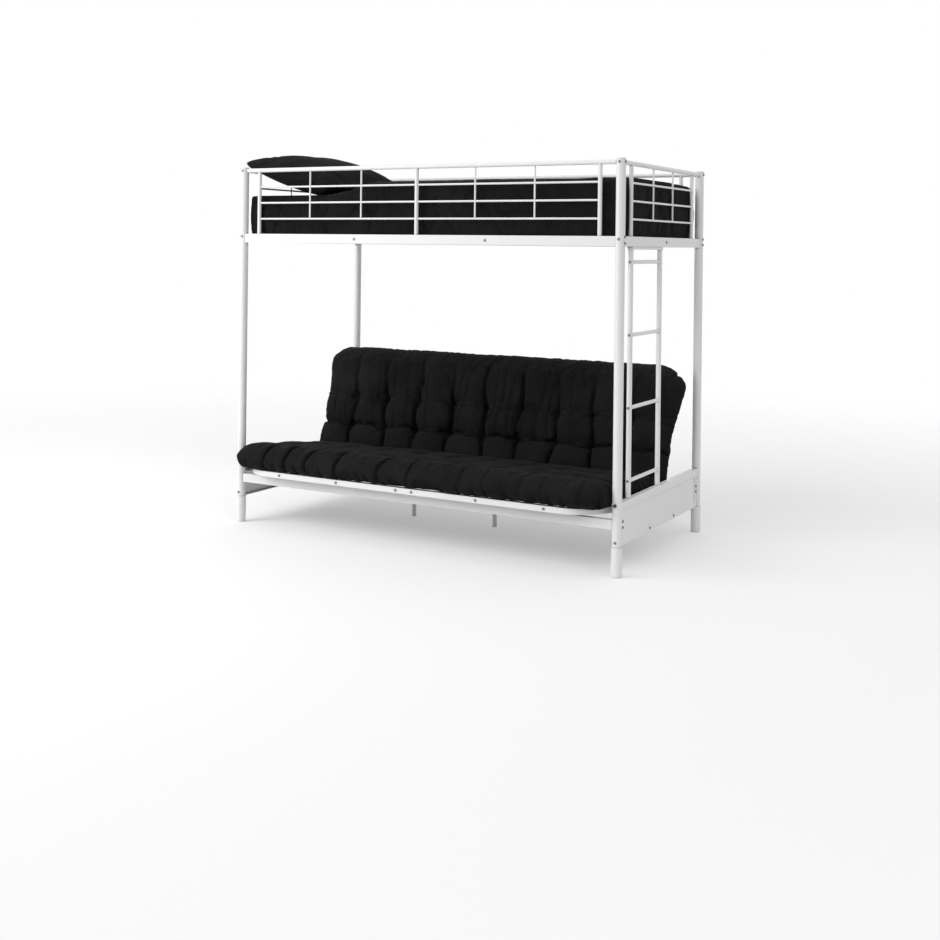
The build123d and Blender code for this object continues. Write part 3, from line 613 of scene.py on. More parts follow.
class LOFTBED_OT_bolts(bpy.types.Operator):
    """Put a domed head with a hexagon socket and a washer on every bolt"""

    bl_idname = "loftbed.bolts"
    bl_label = "Bolts"

    head_radius: FloatProperty(
        name="Head radius", description="Radius of a bolt's head",
        subtype="DISTANCE", unit="LENGTH", default=0.0054,
    )
    socket_width: FloatProperty(
        name="Socket", description="Radius of the hexagon socket to its corners",
        subtype="DISTANCE", unit="LENGTH", default=0.0024,
    )

    def head(self):
        """Model one head at the origin: a washer, a domed head and its socket."""
        washer_top = 0.0007
        washer = disc(self.head_radius * 1.12, 0, washer_top)
        round_off(washer, width=0.0002, segments=2)
        dome = disc(self.head_radius, washer_top, BOLT_HEAD_HEIGHT)
        round_off(dome, width=(BOLT_HEAD_HEIGHT - washer_top) * 0.8, segments=5)
        socket_bottom = washer_top + BOLT_HEAD_HEIGHT / 2
        socket = disc(self.socket_width, socket_bottom, socket_bottom + BOLT_HEAD_HEIGHT, sides=6)
        apply_modifier(dome, "BOOLEAN", object=socket, operation="DIFFERENCE", solver="EXACT")
        bpy.data.objects.remove(socket)
        return join_all([dome, washer], "bolt_head")

    def place(self, points):
        """Where a bolt's head goes, from the points of its solid: at the widest end."""
        low, high = points.min(0), points.max(0)
        axis = int(np.argmax(high - low))
        middle = (low + high) / 2
        radius = np.linalg.norm(np.delete(points - middle, axis, 1), axis=1)
        widest = points[radius > radius.max() - 0.0003][:, axis].mean()
        outward = np.zeros(3)
        outward[axis] = 1 if widest > middle[axis] else -1
        end = np.where(outward > 0, high, low)
        seat = np.where(outward == 0, middle, end) - outward * BOLT_HEAD_HEIGHT
        return facing(seat, outward)

    def execute(self, context):
        for node, body in BOLT_NODES.items():
            places = [self.place(points) for points in loose_parts(node)]
            heads = copies(self.head(), places, f"{node}_heads")
            smooth_by_angle(heads, 40)
            stand_for(heads, node, body, "zinc_plating")
        return {"FINISHED"}


class LOFTBED_OT_welds(bpy.types.Operator):
    """Lay a small weld bead round each joint of the guards and the ladder"""

    bl_idname = "loftbed.welds"
    bl_label = "Weld beads"

    bead: FloatProperty(
        name="Bead", description="Radius of a weld bead",
        subtype="DISTANCE", unit="LENGTH", default=0.0013,
    )

    def ring(self, radius):
        """Model one bead round a bar of a radius, at the origin."""
        deselect_all()
        bpy.ops.mesh.primitive_torus_add(
            major_radius=radius, minor_radius=self.bead,
            major_segments=20, minor_segments=6,
        )
        return bpy.context.object

    def joints(self):
        """List the welded joints as a bar's radius with a place and a direction."""
        found = []
        up = (0, 0, 1)
        for row in (-1, 1):
            y = MIDDLE_Y + row * HALF_DEPTH
            for x in SIDE_UPRIGHTS:
                found.append((UPRIGHT_RADIUS, (x, y, DECK_RAIL_TOP), up))
                found.append((UPRIGHT_RADIUS, (x, y, TOP_RAIL_HEIGHT - TOP_RAIL_RADIUS), up))
            for x in SIDE_BARS:
                found.append((THIN_UPRIGHT_RADIUS, (x, y, TOP_RAIL_HEIGHT - TOP_RAIL_RADIUS), up))
                for z in GUARD_BAR_HEIGHTS:
                    found.append((THIN_UPRIGHT_RADIUS, (x, y, z + BAR_RADIUS), up))
            for side in (-1, 1):
                x = side * (HALF_LENGTH - POST_RADIUS)
                found.append((TOP_RAIL_RADIUS, (x, y, TOP_RAIL_HEIGHT), (1, 0, 0)))
                for upright in SIDE_UPRIGHTS:
                    for z in GUARD_BAR_HEIGHTS:
                        place = (upright + side * UPRIGHT_RADIUS, y, z)
                        if abs(place[0]) < abs(SIDE_UPRIGHTS[0]):
                            found.append((BAR_RADIUS, place, (1, 0, 0)))
        for side in (-1, 1):
            x = side * HALF_LENGTH
            for place in END_UPRIGHTS:
                y = MIDDLE_Y + place
                inner = y - math.copysign(UPRIGHT_RADIUS, place)
                found.append((UPRIGHT_RADIUS, (x, y, DECK_RAIL_TOP), up))
                found.append((UPRIGHT_RADIUS, (x, y, TOP_RAIL_HEIGHT - TOP_RAIL_RADIUS), up))
                for z in GUARD_BAR_HEIGHTS:
                    found.append((BAR_RADIUS, (x, inner, z), (0, 1, 0)))
            for place in END_BARS:
                y = MIDDLE_Y + place
                found.append((THIN_UPRIGHT_RADIUS, (x, y, TOP_RAIL_HEIGHT - TOP_RAIL_RADIUS), up))
                for z in GUARD_BAR_HEIGHTS:
                    found.append((THIN_UPRIGHT_RADIUS, (x, y, z + BAR_RADIUS), up))
            for row in (-1, 1):
                y = MIDDLE_Y + row * (HALF_DEPTH - POST_RADIUS)
                found.append((TOP_RAIL_RADIUS, (x, y, TOP_RAIL_HEIGHT), (0, 1, 0)))
        for place in STILE_PLACES:
            y = MIDDLE_Y + place
            found.append((STILE_RADIUS, (HALF_LENGTH, y, PANEL_TOP), up))
            found.append((STILE_RADIUS, (HALF_LENGTH, y, LADDER_TOP), up))
        for z in RUNG_HEIGHTS:
            for place, inward in zip(STILE_PLACES, (1, -1)):
                y = MIDDLE_Y + place + inward * STILE_RADIUS
                found.append((RUNG_RADIUS, (HALF_LENGTH, y, z), (0, 1, 0)))
        return found

    def execute(self, context):
        joints = self.joints()
        parts = []
        for radius in sorted({joint[0] for joint in joints}):
            places = [facing(place, way) for size, place, way in joints if size == radius]
            parts.append(copies(self.ring(radius), places, f"beads_{round(radius * 10000)}"))
        welds = join_all(parts, "weld_beads")
        smooth_by_angle(welds, 80)
        dress(welds, "white_powder_coat")
        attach(welds, "frame")
        return {"FINISHED"}


class LOFTBED_OT_caps(bpy.types.Operator):
    """Round the plastic caps, and give the knob its grip"""

    bl_idname = "loftbed.caps"
    bl_label = "Caps, knob and glides"

    def execute(self, context):
        caps = (
            ("post_caps", "frame", 0.0014, "white_plastic", "white_cap"),
            ("foot_caps", "frame", 0.0012, "white_plastic", "white_cap"),
            ("mid_leg_caps", "seat", 0.0012, "white_plastic", "white_cap"),
            ("glides", "seat", 0.0012, "black_plastic", "black_plastic"),
        )
        for node, body, width, material, slot in caps:
            softened(node, body, width, 3, material)
        self.knob()
        return {"FINISHED"}

    def knob(self):
        """Model the locking knob: a collar, and a head with a ribbed rim."""
        low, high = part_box("lock_knob")
        front = MIDDLE_Y - HALF_DEPTH - POST_RADIUS
        seat = Vector(((low.x + high.x) / 2, front, (low.z + high.z) / 2))
        radius = (high.x - low.x) / 2
        collar = 0.0025
        neck = disc(radius * 0.72, 0, collar)
        grip = disc(radius, collar, seat.y - low.y, sides=48)
        take(grip)
        bpy.ops.object.mode_set(mode="EDIT")
        bpy.ops.mesh.select_all(action="DESELECT")
        bpy.ops.object.mode_set(mode="OBJECT")
        for face in grip.data.polygons:
            face.select = abs(face.normal.z) < 0.5 and face.index % 2 == 0
        bpy.ops.object.mode_set(mode="EDIT")
        bpy.ops.mesh.inset(thickness=0.0001, use_individual=True, depth=-0.0004)
        bpy.ops.object.mode_set(mode="OBJECT")
        round_off(grip, width=0.0004, segments=2, degrees=60)
        knob = join_all([grip, neck], "lock_knob_grip")
        knob.data.transform(facing(seat, (0, -1, 0)))
        smooth_by_angle(knob, 30)
        stand_for(knob, "lock_knob", "frame", "black_plastic")


# Soft pieces: a closed grid of quads, shaped, then filled by a cloth simulation

def box_grid(counts):
    """Number the points on a box's surface, and list its quads and their flat layout."""
    across, along, thick = counts
    index = {}
    faces = []
    layout = []

    def quad(corners, flats):
        faces.append([index.setdefault(corner, len(index)) for corner in corners])
        layout.extend(flats)

    for i in range(across):
        for j in range(along):
            flats = [(i, j), (i + 1, j), (i + 1, j + 1), (i, j + 1)]
            quad([(a, b, thick) for a, b in flats], flats)
            quad([(a, b, 0) for a, b in reversed(flats)], flats[::-1])
    for i in range(across):
        for k in range(thick):
            flats = [(i, k), (i + 1, k), (i + 1, k + 1), (i, k + 1)]
            quad([(a, 0, c) for a, c in flats], flats)
            quad([(a, along, c) for a, c in reversed(flats)], flats[::-1])
    for j in range(along):
        for k in range(thick):
            flats = [(j, k), (j + 1, k), (j + 1, k + 1), (j, k + 1)]
            quad([(across, b, c) for b, c in flats], flats)
            quad([(0, b, c) for b, c in reversed(flats)], flats[::-1])
    corners = np.array(list(index), float) / np.array(counts)
    return corners, faces, np.array(layout, float)


def round_corner(x, u, corner_x, corner_u, radius):
    """Move the points of a square corner onto a round one."""
    side = math.copysign(1, corner_x)
    dx = np.clip((x * side - abs(corner_x) + radius) / radius, 0, None)
    du = np.clip((u - corner_u + radius) / radius, 0, None)
    inside = (dx > 0) & (du > 0)
    length = np.maximum(np.sqrt(dx * dx + du * du), 1e-9)
    share = np.where(inside, np.maximum(dx, du) / length, 1.0)
    x_new = np.where(inside, side * (abs(corner_x) - radius + radius * dx * share), x)
    u_new = np.where(inside, corner_u - radius + radius * du * share, u)
    return x_new, u_new


def round_edges(place, half, radii):
    """Round a box's edges. Each axis has a radius for its low and its high end."""
    low = np.array([r[0] for r in radii])
    high = np.array([r[1] for r in radii])
    inner = np.clip(place, -half + low, half - high)
    offset = place - inner
    radius = np.where(offset < 0, low, high)
    scaled = offset / radius
    length = np.linalg.norm(scaled, axis=1, keepdims=True)
    return inner + radius * scaled / np.maximum(length, 1e-9)


def field(across, along, seed):
    """A noise value from about -1 to 1 for each pair of stretched places."""
    return np.array([
        noise.noise(Vector((a, b, seed * 7.31))) for a, b in zip(across.tolist(), along.tolist())
    ]) * 1.6


def ridges(across, along, seed, sharpness):
    """Narrow winding lines, 1 on the line and 0 away from it."""
    return np.clip(1 - np.abs(field(across, along, seed)) * 2.2, 0, 1) ** sharpness


def ease(value, low, high):
    """A smooth step from 0 at a low value to 1 at a high value."""
    share = np.clip((value - low) / (high - low), 0, 1)
    return share * share * (3 - 2 * share)


def make_mesh(name, points, faces, layout, spacing, closed=True):
    """Make a piece from points and quads, with its flat layout in metres as its UV map."""
    mesh = bpy.data.meshes.new(name)
    mesh.from_pydata([tuple(point) for point in points], [], faces)
    flat = mesh.uv_layers.new(name="fabric")
    flat.data.foreach_set("uv", (layout * spacing).ravel())
    piece = bpy.data.objects.new(name, mesh)
    bpy.context.scene.collection.objects.link(piece)
    take(piece)
    if closed:
        bpy.ops.object.mode_set(mode="EDIT")
        bpy.ops.mesh.select_all(action="SELECT")
        bpy.ops.mesh.normals_make_consistent(inside=False)
        bpy.ops.object.mode_set(mode="OBJECT")
    bpy.ops.object.shade_smooth()
    return piece


def points_of(piece):
    """The points of a piece's mesh as an array."""
    found = np.empty(len(piece.data.vertices) * 3)
    piece.data.vertices.foreach_get("co", found)
    return found.reshape(-1, 3)


def normals_of(piece):
    """The outward directions at a piece's points as an array."""
    found = np.empty(len(piece.data.vertices) * 3)
    piece.data.vertices.foreach_get("normal", found)
    return found.reshape(-1, 3)


def paint_crease_shade(piece, depth):
    """Store how deep each point lies in a crease, from 0 to 1, for the fabric to darken as painted
    shade.
    """
    marks = piece.data.attributes.new("crease", "FLOAT", "POINT")
    marks.data.foreach_set("value", np.clip(depth, 0, 1).astype(np.float32))


def set_points(piece, points):
    """Write an array of points back to a piece's mesh."""
    piece.data.vertices.foreach_set("co", points.astype(np.float32).ravel())
    piece.data.update()


def fill_cover(piece, held, slack, pressure, travel, frames=20):
    """Press the filling against the cover by simulation, and cap how far a point moves."""
    before = points_of(piece)
    group = piece.vertex_groups.new(name="held")
    for weight in np.unique(np.round(held[held > 0.01], 1)):
        chosen = np.nonzero(np.isclose(np.round(held, 1), weight) & (held > 0.01))[0]
        group.add([int(index) for index in chosen], float(weight), "REPLACE")
    take(piece)
    cloth = piece.modifiers.new("Cover", "CLOTH")
    cloth.settings.quality = 6
    cloth.settings.mass = 0.3
    cloth.settings.tension_stiffness = 12
    cloth.settings.compression_stiffness = 12
    cloth.settings.shear_stiffness = 4
    cloth.settings.bending_stiffness = 0.12
    cloth.settings.air_damping = 3
    cloth.settings.shrink_min = -slack
    cloth.settings.use_pressure = True
    cloth.settings.uniform_pressure_force = pressure
    cloth.settings.vertex_group_mass = "held"
    cloth.settings.effector_weights.gravity = 0
    cloth.collision_settings.use_collision = False
    cloth.point_cache.frame_start = 1
    cloth.point_cache.frame_end = frames
    for number in range(1, frames + 1):
        bpy.context.scene.frame_set(number)
    bpy.ops.object.modifier_apply(modifier="Cover")
    bpy.context.scene.frame_set(1)
    piece.vertex_groups.clear()
    moved = points_of(piece) - before
    length = np.linalg.norm(moved, axis=1, keepdims=True)
    share = travel * np.tanh(length / travel) / np.maximum(length, 1e-9)
    set_points(piece, before + moved * share)


@dataclass
class Pad:
    """One pad of the futon, in its own directions: across, along from the fold, and up."""

    body: str
    along: Vector
    up: Vector
    half_width: float
    face_tip: tuple       # place along and height of the face's free end
    foot_reach: float     # place along of the underside's free end
    bulge: float          # of the free end between the two
    corners: tuple        # radii of the left and the right corner of the free end
    flare: tuple          # how far the left and the right side lean out there
    flare_span: tuple     # shares of the way along where that starts and ends
    rows: tuple           # shares of the way along where a row of tufts or an edge lies
    row_hold: tuple       # how firmly each of them is sewn, from 0 to 1
    hold_places: tuple    # shares of the way along for the next values
    column_hold: tuple    # how firmly the lines between the columns are sewn, from 0 to 1
    sway: float           # of those lines
    unevenness: float     # between one of those lines and the next
    nose_creases: tuple   # places across of the creases round the free end

    def __post_init__(self):
        self.along = np.array(self.along)
        self.up = np.array(self.up)
        self.span = self.face_tip[0] - FOLD_TOP_ALONG

    def to_world(self, x, u, v):
        """Turn the pad's own places into places of the bed."""
        across = np.array((1.0, 0.0, 0.0))
        away = x[:, None] * across + u[:, None] * self.along + v[:, None] * self.up
        return np.array(HINGE) + away

    def to_local(self, points):
        """Turn places of the bed into the pad's own places."""
        away = points - np.array(HINGE)
        return away[:, 0], away @ self.along, away @ self.up

    def face_height(self, share):
        """Height of the crease plane above the hinge line, at a share of the way along."""
        return FOLD_HEIGHT + share * (self.face_tip[1] - FOLD_HEIGHT)

    def share_along(self, u):
        """Share of the way from the fold to the free end."""
        return np.clip((u - FOLD_TOP_ALONG) / self.span, 0, 1)

    def column_at(self, x, share, columns):
        """Place across, counted in columns. The sewn lines sway a little."""
        place = (x + self.half_width) / (2 * self.half_width) * columns
        line = np.round(place)
        sway = 0.07 * np.sin(share * 5.3 + line * 2.1) + 0.04 * np.sin(share * 13 + line * 4.7)
        return place + sway * self.sway

    def line_hold(self, column, share, columns, seed):
        """How firmly the nearest sewn line holds the cover, from 0 to 1."""
        random = np.random.default_rng(seed + 40)
        strength = 1 - self.unevenness * random.uniform(0, 1, columns + 1)
        nearest = np.clip(np.round(column), 0, columns).astype(int)
        return np.interp(share, self.hold_places, self.column_hold) * strength[nearest]

    def tufts(self, columns):
        """Places of the tufts, across and along."""
        lines = np.linspace(-self.half_width, self.half_width, columns + 1)[1:-1]
        return [
            (x, FOLD_TOP_ALONG + self.span * share) for share in self.rows[1:-1] for x in lines
        ]


def gathered(pad, x, u, columns, seed):
    """Fine folds that run out from each tuft, with a dimple in the middle."""
    reach, fading, dimple = 0.16, 0.062, 0.012
    random = np.random.default_rng(seed + 1)
    move = np.zeros_like(x)
    for tuft_x, tuft_u in pad.tufts(columns):
        near = np.nonzero(np.hypot(x - tuft_x, u - tuft_u) < reach)[0]
        away = np.hypot(x[near] - tuft_x, u[near] - tuft_u)
        angle = np.arctan2(u[near] - tuft_u, x[near] - tuft_x)
        folds = random.integers(6, 10)
        phase = random.uniform(0, 2 * math.pi)
        sharp = np.abs(np.sin(angle * folds / 2 + phase + away * 14)) ** 0.6 - 0.65
        fade = np.clip(away / dimple, 0, 1) * np.exp(-((away / fading) ** 2))
        move[near] += 0.0055 * sharp * fade - 0.012 * np.exp(-((away / dimple) ** 2))
    return move


def seam_depth(pad, x, u, columns, seed):
    """How deep each point lies in a sewn crease, from 0 to 1."""
    share = pad.share_along(u)
    column = pad.column_at(x, share, columns)
    pitch = 2 * pad.half_width / columns
    away = np.abs(column - np.round(column)) * pitch
    inner = (np.round(column) > 0.5) & (np.round(column) < columns - 0.5)
    held = pad.line_hold(column, share, columns, seed)
    depth = held * np.exp(-((away / 0.007) ** 2)) * inner
    for row, hold in zip(pad.rows[1:-1], pad.row_hold[1:-1]):
        waver = 0.006 * np.sin(x * 23 + row * 9) + 0.004 * np.sin(x * 61)
        away = np.abs(u - FOLD_TOP_ALONG - row * pad.span + waver)
        depth = np.maximum(depth, hold * np.exp(-((away / 0.006) ** 2)))
    return depth


def nose_depth(pad, x, share):
    """How deep each point lies in one of the creases round the pad's free end."""
    depth = np.zeros_like(x)
    for place in pad.nose_creases:
        waver = 0.010 * np.sin(share * 9 + place * 17)
        strength = np.interp(place, (-0.4, 0.4), (1.0, 0.25))
        depth = np.maximum(depth, strength * np.exp(-(((x - place + waver) / 0.008) ** 2)))
    return depth * ease(share, 0.66, 0.80)


def back_folds(x, u, share, seed):
    """Long folds up the back pad with finer ones beside them, and how deep they are."""
    rising = ease(share, 0.10, 0.30)
    patches = ease(field(x * 3.0, u * 2.0, seed + 5), -0.35, 0.35)
    long_folds = ridges(x * 13, u * 2.6, seed, 3) * rising * patches
    fine_folds = ridges(x * 30, u * 5.0, seed + 1, 3) * rising * patches
    return long_folds, 0.0050 * long_folds + 0.0034 * fine_folds


def seat_folds(x, u, share, seed):
    """Folds across the seat pad behind its nose with finer ones between, and their depth."""
    behind = ease(share, 0.04, 0.12) * (1 - ease(share, 0.62, 0.74))
    patches = ease(field(x * 6.0, u * 9.0, seed + 5), -0.05, 0.45)
    long_folds = ridges(x * 4.5, u * 15, seed, 2) * behind * patches
    fine_folds = ridges(x * 11, u * 26, seed + 1, 3) * behind * (1 - patches)
    return long_folds, 0.0100 * long_folds + 0.0035 * fine_folds


def nose_puckers(x, v, seed):
    """Short creases low on the seat pad's nose, from 0 to 1."""
    return ridges(x * 14, v * 3.0, seed + 2, 2) * (1 - ease(v, 0.035, 0.080))


def wrinkle(pad, piece, columns, seed):
    """Crease and rumple the filled cover, and mark its deep creases for painted shade."""
    points = points_of(piece)
    normals = normals_of(piece)
    x, u, v = pad.to_local(points)
    share = pad.share_along(u)
    upward = np.clip(normals @ pad.up * 1.6, 0, 1) * ease(u, 0.030, 0.055)
    outward = np.clip(normals @ pad.along * 1.4, 0, 1)
    creases = seam_depth(pad, x, u, columns, seed) * upward
    creases = np.maximum(creases, nose_depth(pad, x, share) * np.maximum(outward, upward))
    move = gathered(pad, x, u, columns, seed) * upward - 0.008 * creases
    if pad is BACK_PAD:
        folds, fold_depth = back_folds(x, u, share, seed)
    else:
        folds, fold_depth = seat_folds(x, u, share, seed)
        front = np.maximum(outward, upward * ease(share, 0.80, 0.95))
        puckers = nose_puckers(x, v, seed) * front
        move -= 0.0100 * puckers
        creases = np.maximum(creases, 0.6 * puckers)
    move -= fold_depth * upward
    move += 0.0020 * field(x * 7, u * 7 + v * 7, seed + 3)
    move += 0.0009 * field(x * 28, u * 28 + v * 28, seed + 4)
    set_points(piece, points + normals * move[:, None])
    # Painted shade: deep creases and folds are marked for the fabric to darken.
    paint_crease_shade(piece, creases * 0.9 + (folds * upward) ** 2 * 0.45)


def puff_height(pad, x, share, columns, depth, seed):
    """Height of the puffs above the crease plane: crowned, and pinched along sewn lines."""
    crown = 0.014
    column = pad.column_at(x, share, columns)
    across = np.abs(np.sin(np.pi * column)) ** 0.5
    across = np.where((column < 0.45) | (column > columns - 0.45), 1.0, across)
    along = np.ones_like(x)
    hold = np.zeros_like(x)
    for number, (start, end) in enumerate(zip(pad.rows, pad.rows[1:])):
        inside = (share >= start) & (share <= end)
        part = np.clip((share - start) / (end - start), 0, 1)
        along = np.where(inside, np.sin(np.pi * part) ** 0.55, along)
        edge = pad.row_hold[number] + (pad.row_hold[number + 1] - pad.row_hold[number]) * part
        hold = np.where(inside, edge, hold)
    held = pad.line_hold(column, share, columns, seed)
    height = crown - (crown + depth) * held * (1 - across)
    height -= (crown + depth) * hold * (1 - along)
    height -= 0.6 * depth * nose_depth(pad, x, share)
    random = np.random.default_rng(seed)
    lift = random.uniform(-0.005, 0.003, size=(columns, len(pad.rows) - 1))
    column_index = np.clip(column.astype(int), 0, columns - 1)
    row_index = np.clip(np.searchsorted(pad.rows, share, side="right") - 1, 0, len(pad.rows) - 2)
    height += lift[column_index, row_index] * across * along
    return np.maximum(height, -depth * 1.25)


def near_side(pad, x, width):
    """How near a point lies to the pad's left or right side: 1 there, 0 a width away."""
    return np.clip((np.abs(x) - pad.half_width + width) / width, 0, 1)


def pad_places(pad, corners, settings, seed):
    """Shape the points of a unit box into a pad. Hand back their places and shares."""
    length, thick = pad.foot_reach, 0.10
    side_drop, end_drop = 0.018, 0.008
    room = 0.0006
    half = np.array((pad.half_width, length / 2, thick / 2))
    box = (corners * 2 - 1) * half
    box = round_edges(box, half, ((0.035, 0.035), (0.020, 0.038), (0.040, 0.044)))
    x, u, w = box[:, 0], box[:, 1] + length / 2, box[:, 2] / thick + 0.5
    for side, radius in zip((-1, 1), pad.corners):
        x, u = round_corner(x, u, side * pad.half_width, length, radius)
    share = u / length
    waist = 0.010 * (1 - (share * 2 - 1) ** 2)
    x = x * (1 - waist / pad.half_width)
    edge = near_side(pad, x, 0.13)
    puffs = puff_height(pad, x, share, settings.columns, settings.puff_depth, seed)
    top = pad.face_height(share) + puffs
    top -= side_drop * edge ** 2.5 + end_drop * np.clip((share - 0.8) / 0.2, 0, 1) ** 2
    v = PAD_UNDERSIDE + room + w * (top - PAD_UNDERSIDE)
    near = v / FOLD_SLOPE + 2 * room
    far = pad.foot_reach + (pad.face_tip[0] - pad.foot_reach) * w
    far += pad.bulge * np.sin(np.pi * np.clip(w, 0, 1))
    u = near + (far - near) * share
    flare = np.where(x < 0, pad.flare[0], pad.flare[1])
    start, end = pad.flare_span
    rising = np.clip((share - start) / (end - start), 0, 1)
    x = x + np.sign(x) * flare * rising * ease(v, 0.03, 0.08) * edge
    return x, u, v, w, share


def build_pad(pad, name, node, settings, seed):
    """Build one tufted pad, fill it, and let it stand for its node."""
    columns = settings.columns
    counts = (round(2 * pad.half_width / FINE_GRID), round(pad.foot_reach / FINE_GRID), 8)
    corners, faces, layout = box_grid(counts)
    x, u, v, w, share = pad_places(pad, corners, settings, seed)
    piece = make_mesh(name, pad.to_world(x, u, v), faces, layout, FINE_GRID)
    tuft_width = 0.016
    held = np.zeros(len(x))
    for tuft_x, tuft_u in pad.tufts(columns):
        away = np.hypot(x - tuft_x, u - tuft_u)
        held = np.maximum(held, np.clip(1.6 - away / tuft_width, 0, 1))
    held = np.where(w < 0.06, 1.0, held)
    held = np.maximum(held, 0.85 * near_side(pad, x, 0.03))
    held = np.maximum(held, 0.8 * np.clip((share - 0.93) / 0.05, 0, 1))
    fill_cover(piece, held, settings.slack, settings.pressure, settings.travel)
    apply_modifier(piece, "SUBSURF", levels=1, render_levels=1)
    wrinkle(pad, piece, columns, seed)
    keep_clear(piece, pad)
    stand_for(piece, node, pad.body, "futon_cotton")


def keep_clear(piece, pad):
    """Keep a pad above its frame and on its own side of the fold, flat where the strip joins."""
    x, u, v = pad.to_local(points_of(piece))
    v = np.maximum(v, PAD_UNDERSIDE + 0.0002)
    plane = v / FOLD_SLOPE + 0.0009
    joined = (v > STRIP_TOP - 0.016) & (v < STRIP_TOP + 0.004) & (u < plane + 0.014)
    u = np.where(joined, plane, np.maximum(u, plane))
    set_points(piece, pad.to_world(x, u, v))


SEAT_PAD = Pad(
    body="seat", along=SEAT_ALONG, up=SEAT_UP, half_width=0.955,
    face_tip=(0.692, 0.112), foot_reach=0.708, bulge=0.022, corners=(0.080, 0.080),
    flare=(0.022, 0.022), flare_span=(0.90, 0.98),
    rows=(0.0, 0.34, 0.70, 1.0), row_hold=(0.3, 0.10, 0.60, 0.0),
    hold_places=(0.0, 0.34, 0.60, 0.74, 1.0), column_hold=(0.20, 0.12, 0.15, 0.22, 0.15),
    sway=1.0, unevenness=0.7,
    nose_creases=(-0.755, -0.649, -0.523, -0.354, -0.121, 0.031, 0.304, 0.406, 0.582, 0.693, 0.846),
)
BACK_PAD = Pad(
    body="back", along=BACK_ALONG, up=BACK_UP, half_width=0.965,
    face_tip=(0.492, 0.158), foot_reach=0.600, bulge=0.016, corners=(0.070, 0.150),
    flare=(0.028, 0.042), flare_span=(0.12, 0.84),
    rows=(0.0, 0.25, 0.54, 1.0), row_hold=(0.8, 1.0, 0.30, 0.0),
    hold_places=(0.0, 0.25, 0.54, 0.8, 1.0), column_hold=(1.0, 1.0, 0.95, 0.45, 0.15),
    sway=0.7, unevenness=0.2, nose_creases=(),
)


class LOFTBED_OT_seat_pad(bpy.types.Operator):
    """Build the futon's tufted seat pad"""

    bl_idname = "loftbed.seat_pad"
    bl_label = "Seat pad"

    def execute(self, context):
        futon = context.scene.loft_bed.futon
        build_pad(SEAT_PAD, "futon_seat_pad", "seat_cushion", futon, 11)
        return {"FINISHED"}


class LOFTBED_OT_back_pad(bpy.types.Operator):
    """Build the futon's tufted back pad"""

    bl_idname = "loftbed.back_pad"
    bl_label = "Back pad"

    def execute(self, context):
        futon = context.scene.loft_bed.futon
        build_pad(BACK_PAD, "futon_back_pad", "back_cushion", futon, 23)
        return {"FINISHED"}


class LOFTBED_OT_tufts(bpy.types.Operator):
    """Tie a small knot of thread in each tuft"""

    bl_idname = "loftbed.tufts"
    bl_label = "Tuft knots"

    def knot(self):
        """Model one knot at the origin: two crossed loops of thread."""
        loops = []
        for radius, height, turn in ((0.0042, 0.8, 0), (0.0038, 0.9, math.radians(75))):
            deselect_all()
            bpy.ops.mesh.primitive_torus_add(
                major_radius=radius, minor_radius=0.0011, major_segments=16, minor_segments=6,
                rotation=(0, 0, turn),
            )
            loop = bpy.context.object
            loop.scale = (1.0, 0.45, height)
            place_in_mesh(loop)
            loops.append(loop)
        return join_all(loops, "knot")

    def execute(self, context):
        columns = context.scene.loft_bed.futon.columns
        pads = ((SEAT_PAD, "futon_seat_pad"), (BACK_PAD, "futon_back_pad"))
        for pad, name in pads:
            x, u, v = pad.to_local(points_of(bpy.data.objects[name]))
            places = []
            for tuft_x, tuft_u in pad.tufts(columns):
                near = (np.hypot(x - tuft_x, u - tuft_u) < 0.010) & (v > FOLD_HEIGHT / 2)
                if not near.any():
                    raise RuntimeError(f"{name} has no cover at its tuft {tuft_x:.3f}")
                height = v[near].min() + 0.0008
                seat = pad.to_world(np.array([tuft_x]), np.array([tuft_u]), np.array([height]))
                places.append(facing(Vector(seat[0]), Vector(pad.up)))
            knots = copies(self.knot(), places, f"{name}_knots")
            smooth_by_angle(knots, 80)
            dress(knots, "tuft_thread")
            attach(knots, pad.body)
        return {"FINISHED"}


class LOFTBED_OT_fold(bpy.types.Operator):
    """Sew the strip of cover that joins the two pads and opens out when the back goes down"""

    bl_idname = "loftbed.fold"
    bl_label = "Fold strip"

    tuck: FloatProperty(
        name="Tuck", description="Depth of the strip's tuck between the pads",
        subtype="DISTANCE", unit="LENGTH", default=0.014,
    )

    def execute(self, context):
        half_gap = 0.0008
        half_width = 0.943
        rows, columns = 16, 150
        rise = SEAT_UP * math.sin(BACK_ANGLE) + SEAT_ALONG * math.cos(BACK_ANGLE)
        out = rise.cross(Vector((1, 0, 0))).normalized()
        points = []
        for column in range(columns + 1):
            across = Vector((-half_width + 2 * half_width * column / columns, 0, 0))
            for row in range(rows + 1):
                part = row / rows * 2 - 1
                height = STRIP_TOP - self.tuck * (1 - part * part)
                points.append(HINGE + across + rise * height + out * half_gap * part)
        faces = []
        for column in range(columns):
            for row in range(rows):
                first = column * (rows + 1) + row
                faces.append((first, first + 1, first + rows + 2, first + rows + 1))
        layout = np.array([divmod(index, rows + 1) for face in faces for index in face], float)
        strip = make_mesh("futon_fold_strip", points, faces, layout, FINE_GRID, closed=False)
        dress(strip, "futon_cotton")
        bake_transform(strip)
        return {"FINISHED"}


